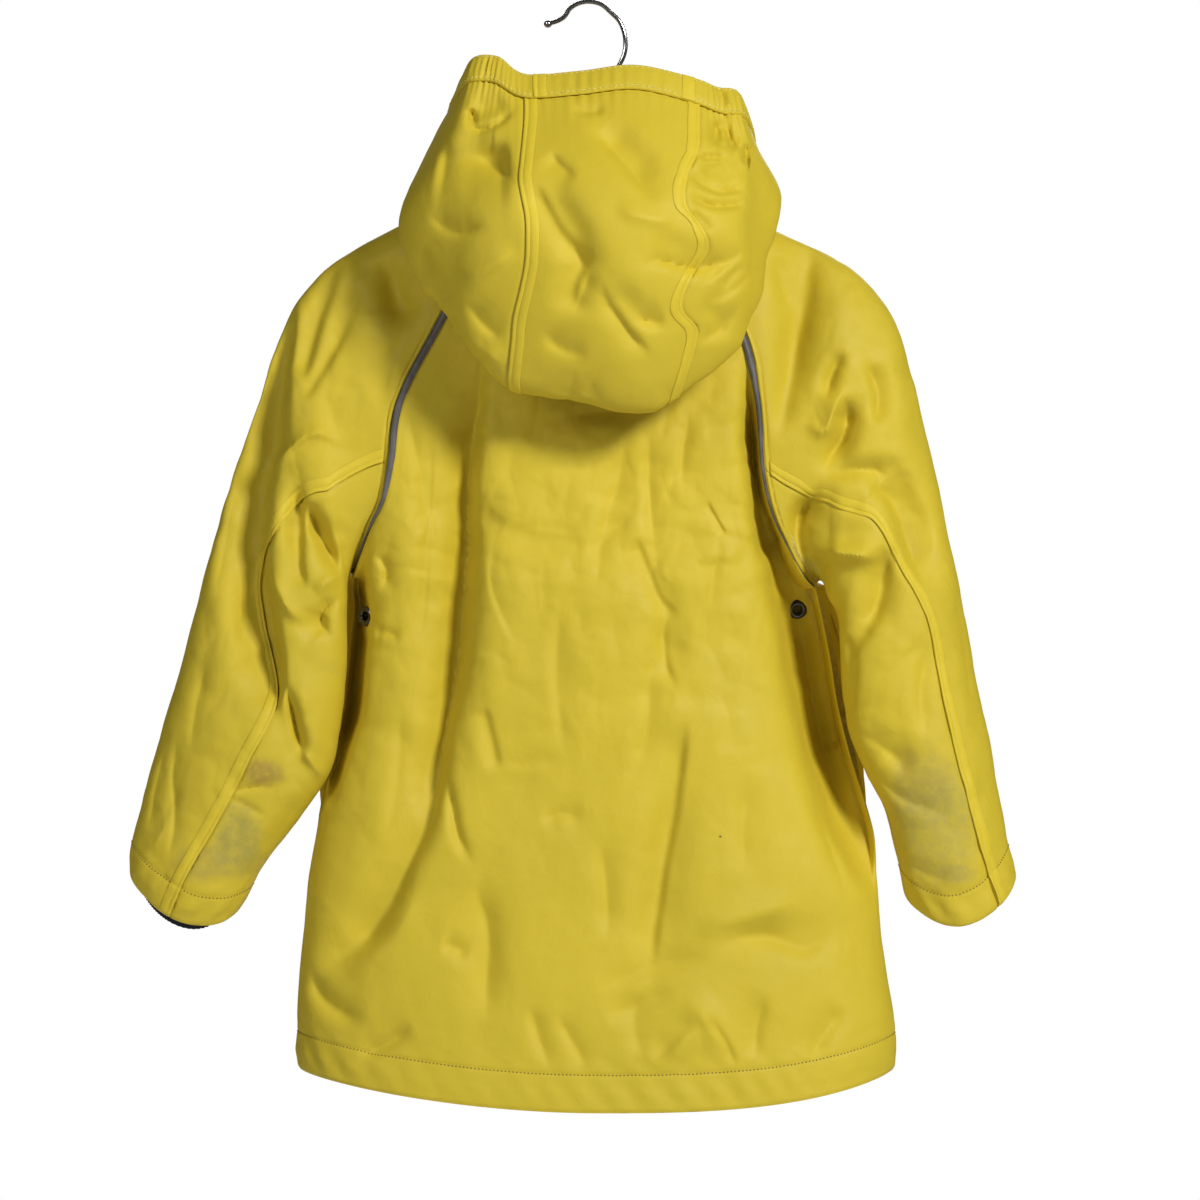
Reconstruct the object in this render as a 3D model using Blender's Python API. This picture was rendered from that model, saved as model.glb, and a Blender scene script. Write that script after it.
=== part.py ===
"""A child's hooded raincoat of coated cloth, closed at the front and hung on a plain hanger.

Frame: metres, +Z up, the origin where a rail carries the hanger's hook. -Y is the side of the
coat's back and +Y the side of its front, so the wearer's left is -X. The tables and the lengths
are in millimetres, and MM turns them into metres when a mesh is made.

Each piece that is cut and sewn is one closed solid: its outer face is worked out as a grid of
points, with a column for each step round the body and a row for each step down it, and its inner
face is the same grid moved in by the cloth's thickness.
"""

import math

import bpy
import numpy as np
from mathutils import Vector

MM = 0.001

# ---- Driving dimensions -------------------------------------------------------------------
WALL = 1.5                  # coated cloth with its fleece back
SEAM_GAP = 0.3              # between two pieces that are sewn together, and under a stud or an eyelet
LIFT = 0.45                 # from a panel's facets to what is sewn flat on them
STRIP_WIDTH = 9.5           # lapped seam strips of hood and sleeves
STRIP_HEIGHT = 1.2
STRIP_SETBACK = 5.0         # from the armhole to the sleeve strip's upper end
PIPING_WIDTH = 4.6
PIPING_HEIGHT = 2.4
PIPING_PROFILE = (0.55, 1.0, 0.55)      # shares of that height across the piping
CASING_WIDTH = 22.0
CASING_AT_ENDS = 12.0       # width of the casing at the throat
CASING_HEIGHT = 1.6
CASING_SETBACKS = (("left", 2.0), ("right", 2.0), ("bottom", 1.0))
THROAT_SETBACK = 1.2        # from the centre front to each end of the hood
PLACKET_HALF_WIDTH = 19.0
PLACKET_HEIGHT = 1.8
PLACKET_SETBACKS = (("top", 2.0), ("bottom", 3.0))
STUD_COUNT = 5
STUD_RADIUS = 6.8
STUD_CROWN = 0.72           # share of the radius at the top of a stud
STUD_HEIGHT = 2.6
STUD_SIDES = 20
STUDS_FROM_TOP = 30.0       # from the placket's upper edge to the first stud
STUDS_FROM_HEM = 45.0
EYELET_RADIUS = 7.2
EYELET_HOLE = 3.0
EYELET_HEIGHT = 2.0
EYELET_PROFILE = ((0.0, 0.55), (0.3, 1.0), (0.7, 0.8), (1.0, 0.12))     # shares (out from the hole, up)
EYELET_BARREL_WALL = 0.8
EYELET_BARREL_REACH = 1.9   # how far the barrel reaches past the cloth's inner face
EYELET_SIDES = 20
HOLE_CLEARANCE = 0.5        # round the eyelet's barrel
HOLE_CUTTER_LENGTH = 14.0
SPOT_STEPS = 12             # how finely a panel's cell is read under an eyelet
CUFF_WALL = 2.0             # knitted inner cuff
CUFF_INSETS = (1.9, 8.0, 8.0, 7.0)      # from the sleeve's outer face, for its last rows
CUFF_REACH = {"left": 5.0, "right": -6.0}       # past the sleeve's edge, or short of it
HOOK_WIRE = 1.7             # radius of the hook's wire
HOOK_TIP = 2.9              # radius of the ball on its end
HOOK_SIDES = 8
HOOK_STEPS = 34
BALL_RINGS = ((0.05, 0.84), (0.85, 0.97), (1.5, 0.44), (1.6, 0.2))     # (place ahead, radius)
HANGER_HALF_WIDTH = 5.5
HANGER_HEIGHT = 18.0
HANGER_REACH = 178.0        # from the hook's stem to the end of an arm
HANGER_CLEARANCE = 1.0      # under the cloth of the shoulders
HANGER_END_TAPER = 0.55
HANGER_SIDES = 12
SHARP_ANGLE = math.radians(50)          # edges that bend more than this are shaded sharp
SIDES = {"left": -1, "right": 1}        # the wearer's left arm is at -X

UNDERARM_END = 0.0          # places once round a sleeve: 0 is the underarm seam,
ARM_SEAM = 0.20             # then the lapped seam down the back of the arm,
BACK_NECK = 0.42            # the back raglan seam's end on the neckline,
TOP = 0.50                  # the top of the shoulder and arm,
FRONT_NECK = 0.58           # and the front raglan seam's end on the neckline

# Neckline from the left front edge, round the back of the neck, to the right front edge.
NECK_COLUMNS = ("n", "x", "y", "z")
NECKLINE = (
    (0.00, 0, 48, -208),
    (0.12, -40, 44, -184),
    (0.22, -66, 28, -152),
    (0.30, -77, -2, -134),
    (0.38, -62, -30, -143),
    (0.50, 0, -40, -158),
    (0.62, 62, -30, -144),
    (0.70, 77, -2, -135),
    (0.78, 66, 28, -152),
    (0.88, 40, 44, -184),
    (1.00, 0, 48, -208),
)
NECK_FRONT, NECK_SHOULDER, NECK_BACK = 0.22, 0.30, 0.38

# Armhole: the raglan seams from the underarm up the back to the neckline, and down the front.
ARMHOLE_COLUMNS = ("a", "left_x", "left_y", "left_z", "right_x", "right_y", "right_z")
ARMHOLE_BACK = (
    (0.00, -171, 6, -413, 163, 6, -421),
    (0.05, -164, -13, -396, 153, -12, -411),
    (0.10, -155, -27, -375, 141, -25, -389),
    (0.15, -147, -34, -357, 131, -33, -366),
    (0.20, -143, -37, -330, 125, -36, -337),
    (0.27, -137, -40, -286, 121, -40, -286),
    (0.34, -108, -39, -229, 110, -39, -237),
    (0.42, -62, -30, -143, 62, -30, -144),
)
ARMHOLE_FRONT = (
    (0.58, -66, 28, -152, 66, 28, -152),
    (0.66, -106, 39, -222, 106, 39, -226),
    (0.76, -134, 41, -296, 126, 41, -302),
    (0.86, -148, 37, -352, 140, 37, -360),
    (0.94, -161, 24, -394, 154, 24, -402),
    (1.00, -171, 6, -413, 163, 6, -421),
)
ARMHOLE_REACH = 0.16        # share of the sleeve over which the armhole's shape fades out

# Sleeves: a row for each section from armhole to cuff. The outer edge is the top of the arm and
# the inner edge its underarm seam. strip is the share of the way from the inner edge to the outer
# one where the back arm seam runs, and drop is how far the back of a section hangs below its edges.
SLEEVE_COLUMNS = (
    "t", "outer_x", "outer_y", "outer_z", "inner_x", "inner_y", "inner_z", "half_depth", "strip", "drop",
)
LEFT_SLEEVE = (
    (0.00, -77, -2, -134, -171, 6, -413, 38, 0.3, 0),
    (0.04, -110, 0, -147, -174, 4, -410, 38, 0.295, 0),
    (0.09, -149, 1, -166, -178, -1, -412, 37, 0.3, 0),
    (0.15, -188, 2, -189, -180, -7, -418, 37, 0.316, 0),
    (0.20, -208, 3, -210, -181, -11, -427, 38, 0.35, 0),
    (0.26, -222, 4, -236, -181, -13, -441, 39, 0.43, 0),
    (0.36, -242, 4, -295, -178, -13, -465, 40, 0.58, 0),
    (0.47, -266, 4, -368, -177, -12, -496, 41, 0.66, 2),
    (0.58, -286, 3, -443, -180, -11, -524, 41, 0.4, 4),
    (0.70, -307, 2, -520, -188, -10, -556, 40, 0.46, 6),
    (0.81, -321, 1, -570, -209, -8, -588, 38, 0.5, 9),
    (0.91, -330, 0, -606, -234, -4, -620, 35, 0.55, 14),
    (1.00, -331, 0, -626, -254, 0, -654, 31, 0.6, 19),
)
RIGHT_SLEEVE = (
    (0.00, 77, -2, -135, 163, 6, -421, 38, 0.294, 0),
    (0.04, 107, 0, -150, 167, 4, -416, 38, 0.26, 0),
    (0.09, 144, 1, -168, 172, -1, -416, 37, 0.245, 0),
    (0.15, 175, 2, -182, 176, -7, -420, 37, 0.25, 0),
    (0.20, 196, 3, -196, 178, -11, -427, 38, 0.27, 0),
    (0.26, 215, 4, -220, 180, -13, -438, 39, 0.32, 0),
    (0.36, 232, 4, -268, 179, -13, -462, 40, 0.45, 0),
    (0.47, 249, 4, -337, 181, -12, -492, 41, 0.57, 2),
    (0.58, 264, 3, -409, 185, -11, -520, 41, 0.7, 4),
    (0.70, 277, 2, -478, 197, -10, -552, 40, 0.69, 6),
    (0.81, 289, 1, -538, 212, -8, -581, 38, 0.7, 12),
    (0.91, 299, 0, -592, 220, -4, -610, 35, 0.76, 20),
    (1.00, 307, 0, -628, 227, 0, -643, 31, 0.81, 26),
)

SLEEVE_ROUNDNESS = 0.85     # power of the sine that rounds a section: under 1 is fuller than an ellipse
HANG_ROUNDNESS = 1.6        # the same for how far a section's back hangs below its edges
FRONT_HANG = -0.2           # share of that hang on a section's front
SLEEVE_FOLDS_START = 0.08   # share of the sleeve over which its folds grow from the armhole
SLEEVE_FOLDS_END = 0.14     # and over which they fade out at the cuff
FRONT_FOLD_SHARE = 0.7      # of a fold's depth that shows on the front of the sleeve

# Side seams of the body, from the underarm (q = 0) to the hem (q = 1).
SIDE_COLUMNS = ("q", "left_x", "left_z", "right_x", "right_z", "y")
SIDE_SEAMS = (
    (0.00, -171, -413, 163, -421, 6),
    (0.06, -171, -434, 168, -441, 18),
    (0.14, -174, -462, 174, -470, 23),
    (0.26, -178, -504, 180, -507, 23),
    (0.36, -185, -539, 189, -543, 18),
    (0.45, -194, -571, 199, -574, 11),
    (0.52, -197, -595, 205, -597, 7),
    (0.62, -203, -631, 207, -631, 4),
    (0.72, -206, -666, 210, -666, 2),
    (0.82, -209, -702, 215, -702, 1),
    (0.92, -211, -737, 220, -737, 0),
    (1.00, -210, -764, 220, -765, 0),
)

# The body down its centre: r is 0 at the neckline, 1 at the underarms and 2 at the hem.
# fullness is the power of the section's curve: 2 is an ellipse, and more is squarer.
BACK_COLUMNS = ("r", "depth", "fullness")
BACK_CENTRE = (
    (0.0, 40, 2.0),
    (0.3, 45, 2.1),
    (0.6, 52, 2.3),
    (1.0, 60, 2.6),
    (1.3, 64, 2.8),
    (1.6, 70, 2.8),
    (2.0, 80, 2.7),
)
FRONT_COLUMNS = ("r", "y", "z", "fullness")
FRONT_CENTRE = (
    (0.0, 48, -208, 2.0),
    (0.25, 51, -252, 2.0),
    (0.5, 54, -304, 2.1),
    (0.75, 57, -362, 2.2),
    (1.0, 60, -424, 2.4),
    (1.4, 63, -560, 2.6),
    (2.0, 68, -776, 2.6),
)
BILLOW_COLUMNS = ("q", "out")
FRONT_BILLOW = (            # how far each front swells past its side seam, behind the hanging sleeve
    (0.00, 0),
    (0.03, 16),
    (0.06, 21),
    (0.12, 24),
    (0.28, 24),
    (0.42, 14),
    (0.58, 0),
    (1.00, 0),
)
BILLOW_PEAK = 0.05          # share of a front, from its side seam, where that swell is fullest
BILLOW_END = 0.15           # and the share past it over which it fades out
BACK_HEM_DROP = 25.0        # how far the centre of the back hem hangs below the side seams
HEM_CURVE = (1.9, 2.9)      # power of the hem's curve on the left half and on the right one
SEAM_MARGINS = (0.05, 0.014)            # shares of the back kept free of folds, by the armhole and below it
FRONT_MARGINS = (0.1, 0.2)  # shares of a front over which its folds fade out at its side and its centre
NECK_MARGIN = 0.2           # share of the body above the underarms that is kept free of folds
NECK_REACH = 0.45           # share of the body above the underarms over which the neckline fades out

# Hood, dropped on the back: a row for each section from the left end of the face edge, round the
# back, to its right end. rim is the face edge, swell the fullest point and fold the bag's lowest,
# where it turns under; tuck is where the cloth lies on the coat.
HOOD_COLUMNS = (
    "u", "rim_x", "rim_y", "rim_z", "swell_x", "swell_y", "swell_z",
    "fold_x", "fold_y", "fold_z", "tuck_x", "tuck_y", "tuck_z",
)
HOOD = (
    (0.00, -4, 60, -160, -6, 63, -172, -6, 62, -184, -4, 58, -194),
    (0.10, -46, 52, -136, -56, 60, -146, -60, 58, -158, -52, 52, -168),
    (0.20, -78, 24, -92, -97, 30, -106, -104, 28, -124, -92, 24, -136),
    (0.28, -88, -22, -58, -111, -24, -98, -120, -22, -128, -106, -18, -136),
    (0.32, -82, -60, -47, -104, -86, -116, -135, -64, -171, -116, -48, -164),
    (0.37, -66, -69, -46, -84, -122, -160, -99, -88, -232, -92, -62, -222),
    (0.44, -43, -76, -60, -40, -142, -166, -56, -98, -280, -52, -68, -264),
    (0.49, -7, -80, -58, -8, -152, -172, -12, -102, -290, -10, -70, -272),
    (0.55, 35, -80, -54, 35, -152, -175, 32, -102, -299, 28, -70, -280),
    (0.60, 75, -76, -63, 70, -140, -174, 60, -96, -289, 54, -68, -270),
    (0.645, 90, -68, -68, 106, -116, -168, 107, -82, -243, 96, -62, -226),
    (0.68, 103, -56, -69, 115, -72, -112, 133, -58, -164, 114, -46, -162),
    (0.72, 109, -20, -83, 121, -24, -112, 131, -22, -138, 108, -18, -138),
    (0.80, 82, 24, -104, 98, 30, -112, 104, 28, -126, 92, 24, -136),
    (0.90, 46, 52, -138, 56, 60, -148, 60, 58, -160, 52, 52, -170),
    (1.00, 4, 60, -160, 6, 63, -172, 6, 62, -184, 4, 58, -194),
)
HOOD_SEAMS = {"left": 0.44, "right": 0.60}      # u at the seams either side of its centre panel
HOOD_RISE = 9.0             # how far the hood stands up from the neckline before it falls back
# Sideways wander of the two hood seams, as a change of u down the section.
SEAM_WANDER_COLUMNS = ("v", "left", "right")
SEAM_WANDER = (
    (0.000, -0.0070, 0.0055),
    (0.080, -0.0070, 0.0055),
    (0.152, -0.0115, 0.0035),
    (0.190, -0.0140, -0.0040),
    (0.225, -0.0155, -0.0075),
    (0.260, -0.0120, -0.0045),
    (0.297, -0.0070, 0.0105),
    (0.330, -0.0040, 0.0150),
    (0.369, -0.0015, 0.0035),
    (0.405, -0.0030, -0.0035),
    (0.441, -0.0050, 0.0100),
    (0.475, -0.0035, 0.0090),
    (0.514, -0.0025, 0.0050),
    (0.586, 0.0000, 0.0025),
    (1.000, 0.0000, 0.0000),
)
# Where the named points of a section lie along it: rim, swell, fold, tuck, over the neckline, neckline.
SECTION_MARKS = (0.0, 0.30, 0.58, 0.72, 0.93, 1.0)
HOOD_FOLDS_START = 0.1      # v over which the hood's folds grow from the face edge
HOOD_FOLDS_FADE = (0.52, 0.66)          # v between which they fade out under the bag
HOOD_FOLDS_BEHIND = (-70.0, -30.0)      # and y between which they fade out towards the shoulders

FOLD_END = 1 / 3            # share of a trough's or a ridge's path over which it fades at each end,
FOLD_LEAST = 0.25           # to this share of its depth
STEP_END = 1 / 6            # the same for a step, which fades out altogether
SLEEVE_FOLD_SPREAD = 0.5    # power of the sine that fades the sleeve's folds at its two edges

# Folds: each is a soft trough (depth in from the outer face) along a path of (x, z) points.
# "trough" sinks its path, "ridge" lifts it, and "step" sinks all on the path's right-hand side,
# going down, out to its reach. "left step" sinks the other side.
BACK_FOLDS = (
    # kind, depth, width, reach, path
    ("trough", 8, 15, 0, ((-85, -315), (-88, -392), (-95, -472), (-101, -524), (-111, -552), (-122, -600))),
    ("trough", 4, 11, 0, ((-112, -320), (-118, -430), (-124, -470))),
    ("ridge", 4, 18, 0, ((-62, -330), (-60, -420), (-72, -520))),
    ("trough", 4, 11, 0, ((22, -322), (14, -368))),
    ("trough", 5, 12, 0, ((-80, -352), (-64, -380), (-40, -388), (0, -390))),
    ("step", 19, 8, 34, ((112, -262), (113, -330), (121, -372), (128, -402), (134, -430), (139, -460),
                        (148, -502), (158, -545), (182, -574))),
    ("left step", 17, 7, 26, ((-166, -398), (-164, -430), (-164, -462), (-167, -500), (-176, -540))),
    ("trough", 6, 13, 0, ((68, -553), (62, -576), (56, -616), (50, -650), (48, -688))),
    ("trough", 5, 11, 0, ((40, -396), (54, -430), (58, -470), (66, -492))),
    ("trough", 6, 17, 0, ((-141, -646), (-161, -680), (-195, -700))),
    ("trough", 5, 14, 0, ((108, -672), (142, -664), (178, -666))),
    ("ridge", 4, 12, 0, ((36, -760), (80, -728), (108, -760))),
    ("trough", 5, 14, 0, ((-80, -622), (-76, -668), (-74, -732))),
)
FRONT_FOLDS = (
    ("trough", 7, 15, 0, ((-92, -300), (-96, -400), (-104, -500), (-110, -600))),
    ("trough", 7, 15, 0, ((88, -310), (94, -420), (104, -540), (112, -640))),
    ("trough", 5, 14, 0, ((-150, -420), (-140, -520), (-146, -620))),
    ("trough", 5, 14, 0, ((150, -430), (146, -520), (152, -600))),
    ("ridge", 5, 16, 0, ((-66, -560), (-74, -660), (-70, -760))),
    ("ridge", 5, 16, 0, ((64, -580), (70, -680), (66, -760))),
)
LEFT_SLEEVE_FOLDS = (
    ("trough", 11, 12, 0, ((-150, -180), (-138, -214), (-120, -240))),
    ("trough", 6, 14, 0, ((-186, -196), (-195, -230), (-206, -272))),
    ("trough", 5, 12, 0, ((-164, -202), (-176, -236), (-186, -258))),
    ("trough", 9, 13, 0,
     ((-220, -244), (-227, -286), (-232, -336), (-238, -362), (-236, -420), (-229, -468))),
    ("trough", 9, 10, 0, ((-103, -246), (-110, -282))),
    ("trough", 8, 9, 0, ((-207, -352), (-210, -376), (-206, -402))),
    ("trough", 7, 10, 0, ((-203, -356), (-190, -388), (-181, -412))),
    ("trough", 8, 11, 0, ((-191, -437), (-195, -446), (-188, -452))),
    ("ridge", 6, 12, 0, ((-212, -480), (-200, -520), (-190, -548))),
    ("trough", 6, 11, 0, ((-222, -500), (-206, -544), (-196, -558))),
)
RIGHT_SLEEVE_FOLDS = (
    ("trough", 11, 14, 0, ((158, -184), (156, -215), (146, -257), (135, -293))),
    ("trough", 5, 12, 0, ((203, -258), (209, -281), (199, -305))),
    ("trough", 6, 9, 0, ((186, -279), (183, -308), (171, -335))),
    ("trough", 8, 11, 0, ((170, -336), (213, -336), (220, -345), (231, -368), (244, -415))),
    ("trough", 10, 11, 0, ((164, -354), (150, -374), (148, -397), (156, -410))),
    ("ridge", 7, 9, 0, ((160, -394), (184, -396), (208, -399))),
    ("trough", 8, 10, 0, ((212, -401), (208, -430), (199, -451))),
    ("trough", 5, 10, 0, ((208, -534), (230, -552))),
)
HOOD_FOLDS = (
    ("trough", 8, 11, 0, ((-26, -134), (-22, -156), (-10, -176), (-4, -196), (-10, -220))),
    ("trough", 6, 11, 0, ((8, -98), (34, -126), (44, -142))),
    ("trough", 5, 9, 0, ((14, -212), (34, -232), (54, -234))),
    ("trough", 5, 10, 0, ((38, -192), (56, -186), (72, -194), (98, -186))),
    ("trough", 5, 8, 0, ((76, -136), (104, -132))),
    ("trough", 7, 9, 0, ((84, -88), (98, -104), (112, -112))),
    ("trough", 6, 9, 0, ((-84, -86), (-70, -84), (-56, -80))),
    ("trough", 5, 12, 0, ((-96, -100), (-68, -120), (-56, -114))),
)

# Centres (x, z) of the vent eyelets in the back panel, under each arm.
EYELETS = {"left": (-159.0, -440.0), "right": (150.0, -436.0)}

HANGER_TOP = (              # (x, z) of the bar's upper edge between its stem and the neckline
    (0, -113),
    (24, -115),
    (48, -124),
    (70, -134.6),
)
HOOK_PATH = (               # (x, z) of the wire, from the bar up and round to its tip
    (0, -112.7),
    (0, -92),
    (2, -74),
    (8, -60),
    (16.5, -50),
    (21.5, -43),
    (24.6, -36),
    (25.6, -27.4),
    (24.4, -19.5),
    (21, -12),
    (15, -6),
    (8, -0.2),
    (0, 1.7),
    (-8, 0.6),
    (-14.5, -3.4),
    (-19, -9.6),
    (-23.5, -12.2),
    (-28, -13.6),
)


# ---- Curves and grids ---------------------------------------------------------------------
def column(table, names, name):
    place = names.index(name)
    return np.array([row[place] for row in table], float)


def columns(table, names, *wanted):
    return np.stack([column(table, names, name) for name in wanted], axis=-1)


def smooth(knots, values, at):
    """Reads a smooth curve through the values, whose slope at a knot is the mean of those beside it."""
    knots = np.asarray(knots, float)
    values = np.asarray(values, float)
    tail = (1,) * (values.ndim - 1)
    steps = np.diff(knots)
    wide = steps.reshape((-1,) + tail)
    rates = np.diff(values, axis=0) / wide
    slopes = np.empty_like(values)
    slopes[0] = rates[0]
    slopes[-1] = rates[-1]
    slopes[1:-1] = (rates[:-1] * wide[1:] + rates[1:] * wide[:-1]) / (wide[1:] + wide[:-1])
    at = np.clip(np.asarray(at, float), knots[0], knots[-1])
    first = np.clip(np.searchsorted(knots, at, side="right") - 1, 0, len(steps) - 1)
    share = ((at - knots[first]) / steps[first]).reshape(at.shape + tail)
    step = steps[first].reshape(at.shape + tail)
    rest = 1 - share
    start = rest * rest * (1 + 2 * share) * values[first]
    end = share * share * (1 + 2 * rest) * values[first + 1]
    bend = share * rest * step * (rest * slopes[first] - share * slopes[first + 1])
    return start + end + bend


def smooth_rows(marks, stack, at):
    """smooth, where each point of the grid has its own row of values."""
    marks = np.asarray(marks, float)
    steps = np.diff(marks)
    shape = (-1,) + (1,) * (stack.ndim - 1)
    wide = steps.reshape(shape)
    rates = np.diff(stack, axis=0) / wide
    slopes = np.empty_like(stack)
    slopes[0] = rates[0]
    slopes[-1] = rates[-1]
    slopes[1:-1] = (rates[:-1] * wide[1:] + rates[1:] * wide[:-1]) / (wide[1:] + wide[:-1])
    first = np.clip(np.searchsorted(marks, at, side="right") - 1, 0, len(steps) - 1)
    share = ((at - marks[first]) / steps[first])[..., None]
    step = steps[first][..., None]
    rest = 1 - share
    pick = tuple(np.indices(first.shape))
    start = rest * rest * (1 + 2 * share) * stack[(first,) + pick]
    end = share * share * (1 + 2 * rest) * stack[(first + 1,) + pick]
    bend = share * rest * step * (rest * slopes[(first,) + pick] - share * slopes[(first + 1,) + pick])
    return start + end + bend


def fade(share):
    """1 at 0, 0 from 1 on, level at both ends."""
    share = np.clip(share, 0, 1)
    return 1 - share * share * (3 - 2 * share)


def mix(first, second, share):
    return first * (1 - share) + second * share


def fold_depth(x, z, folds):
    """How far in from the outer face the folds sink each point of an (x, z) grid."""
    total = np.zeros_like(x)
    for kind, depth, width, reach, path in folds:
        path = np.array(path, float)
        legs = np.diff(path, axis=0)
        lengths = np.hypot(legs[:, 0], legs[:, 1])
        starts = np.concatenate([[0], np.cumsum(lengths)])
        nearest = np.full(x.shape, np.inf)
        side = np.zeros_like(x)
        along = np.zeros_like(x)
        for place, leg in enumerate(legs):
            dx = x - path[place, 0]
            dz = z - path[place, 1]
            share = np.clip((dx * leg[0] + dz * leg[1]) / lengths[place] ** 2, 0, 1)
            away = np.hypot(dx - share * leg[0], dz - share * leg[1])
            closer = away < nearest
            nearest = np.where(closer, away, nearest)
            turn = dz * leg[0] - dx * leg[1]
            side = np.where(closer, np.where(turn < 0, -1.0, 1.0), side)
            along = np.where(closer, (starts[place] + share * lengths[place]) / starts[-1], along)
        if kind in ("step", "left step"):
            wanted = 1 if kind == "step" else -1
            past = nearest * side * wanted
            ends = fade(1 - along / STEP_END) * fade((along - 1) / STEP_END + 1)
            rise = 0.5 + 0.5 * np.tanh(past / width)
            total += depth * ends * rise * np.exp(-(np.maximum(past, 0) / reach) ** 2)
        else:
            sign = -1 if kind == "ridge" else 1
            ends = fade(1 - along / FOLD_END) * fade((along - 1) / FOLD_END + 1)
            ends = mix(FOLD_LEAST, 1.0, ends)
            total += sign * depth * ends * np.exp(-(nearest / width) ** 2)
    return total


def neckline(n):
    return smooth(column(NECKLINE, NECK_COLUMNS, "n"), columns(NECKLINE, NECK_COLUMNS, "x", "y", "z"), n)


def armhole(side, a):
    """The edge of the sleeve at the body and neck: raglan seam, neckline, raglan seam."""
    names = [side + "_x", side + "_y", side + "_z"]
    back = smooth(
        column(ARMHOLE_BACK, ARMHOLE_COLUMNS, "a"), columns(ARMHOLE_BACK, ARMHOLE_COLUMNS, *names), a
    )
    front = smooth(
        column(ARMHOLE_FRONT, ARMHOLE_COLUMNS, "a"), columns(ARMHOLE_FRONT, ARMHOLE_COLUMNS, *names), a
    )
    n = np.interp(a, (BACK_NECK, TOP, FRONT_NECK), (NECK_BACK, NECK_SHOULDER, NECK_FRONT))
    neck = neckline(n if side == "left" else 1 - n)
    a = np.asarray(a)[..., None]
    return np.where(a < BACK_NECK, back, np.where(a > FRONT_NECK, front, neck))


def sleeve_section(side, t, a):
    """A section of the sleeve as a flattened oval between its inner and its outer edge."""
    table = LEFT_SLEEVE if side == "left" else RIGHT_SLEEVE
    knots = column(table, SLEEVE_COLUMNS, "t")
    outer = smooth(knots, columns(table, SLEEVE_COLUMNS, "outer_x", "outer_y", "outer_z"), t)
    inner = smooth(knots, columns(table, SLEEVE_COLUMNS, "inner_x", "inner_y", "inner_z"), t)
    half_depth = smooth(knots, column(table, SLEEVE_COLUMNS, "half_depth"), t)
    strip = smooth(knots, column(table, SLEEVE_COLUMNS, "strip"), t)
    drop = smooth(knots, column(table, SLEEVE_COLUMNS, "drop"), t)
    strip_angle = np.arccos(1 - 2 * strip)
    below = strip_angle * a / ARM_SEAM
    above = mix(strip_angle, math.pi, (a - ARM_SEAM) / (TOP - ARM_SEAM))
    angle = np.where(a < ARM_SEAM, below, np.where(a < TOP, above, 2 * math.pi * (1 - a)))
    across = (1 - np.cos(angle)) / 2
    out = np.abs(np.sin(angle)) ** SLEEVE_ROUNDNESS
    hang = np.abs(np.sin(angle)) ** HANG_ROUNDNESS
    points = mix(inner, outer, across[..., None])
    back = a < TOP
    points[..., 1] += np.where(back, -half_depth, half_depth) * out
    points[..., 2] -= np.where(back, drop, FRONT_HANG * drop) * hang
    return points


def sleeve(side, t, a):
    t, a = np.broadcast_arrays(np.asarray(t, float), np.asarray(a, float))
    points = sleeve_section(side, t, a)
    edge = armhole(side, a) - sleeve_section(side, np.zeros_like(t), a)
    points += edge * fade(t / ARMHOLE_REACH)[..., None]
    folds = LEFT_SLEEVE_FOLDS if side == "left" else RIGHT_SLEEVE_FOLDS
    back = np.sin(np.clip(a / TOP, 0, 1) * math.pi) ** SLEEVE_FOLD_SPREAD
    front = np.sin(np.clip((a - TOP) / (1 - TOP), 0, 1) * math.pi) ** SLEEVE_FOLD_SPREAD
    start = 1 - fade(t / SLEEVE_FOLDS_START)
    end = fade((t - 1) / SLEEVE_FOLDS_END + 1)
    depth = fold_depth(points[..., 0], points[..., 2], folds) * start * end
    points[..., 1] += depth * back - FRONT_FOLD_SHARE * depth * front
    return points


def side_seam(side, q):
    names = (side + "_x", "y", side + "_z")
    return smooth(column(SIDE_SEAMS, SIDE_COLUMNS, "q"), columns(SIDE_SEAMS, SIDE_COLUMNS, *names), q)


def body_edge(side, r, face):
    """The edge of a back or front panel: its raglan seam while r is under 1, then its side seam."""
    up = BACK_NECK * (1 - np.clip(r, 0, 1)) if face == "back" else mix(FRONT_NECK, 1.0, np.clip(r, 0, 1))
    seam = armhole(side, up)
    lower = side_seam(side, np.clip(r - 1, 0, 1))
    return np.where(np.asarray(r)[..., None] < 1, seam, lower)


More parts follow.
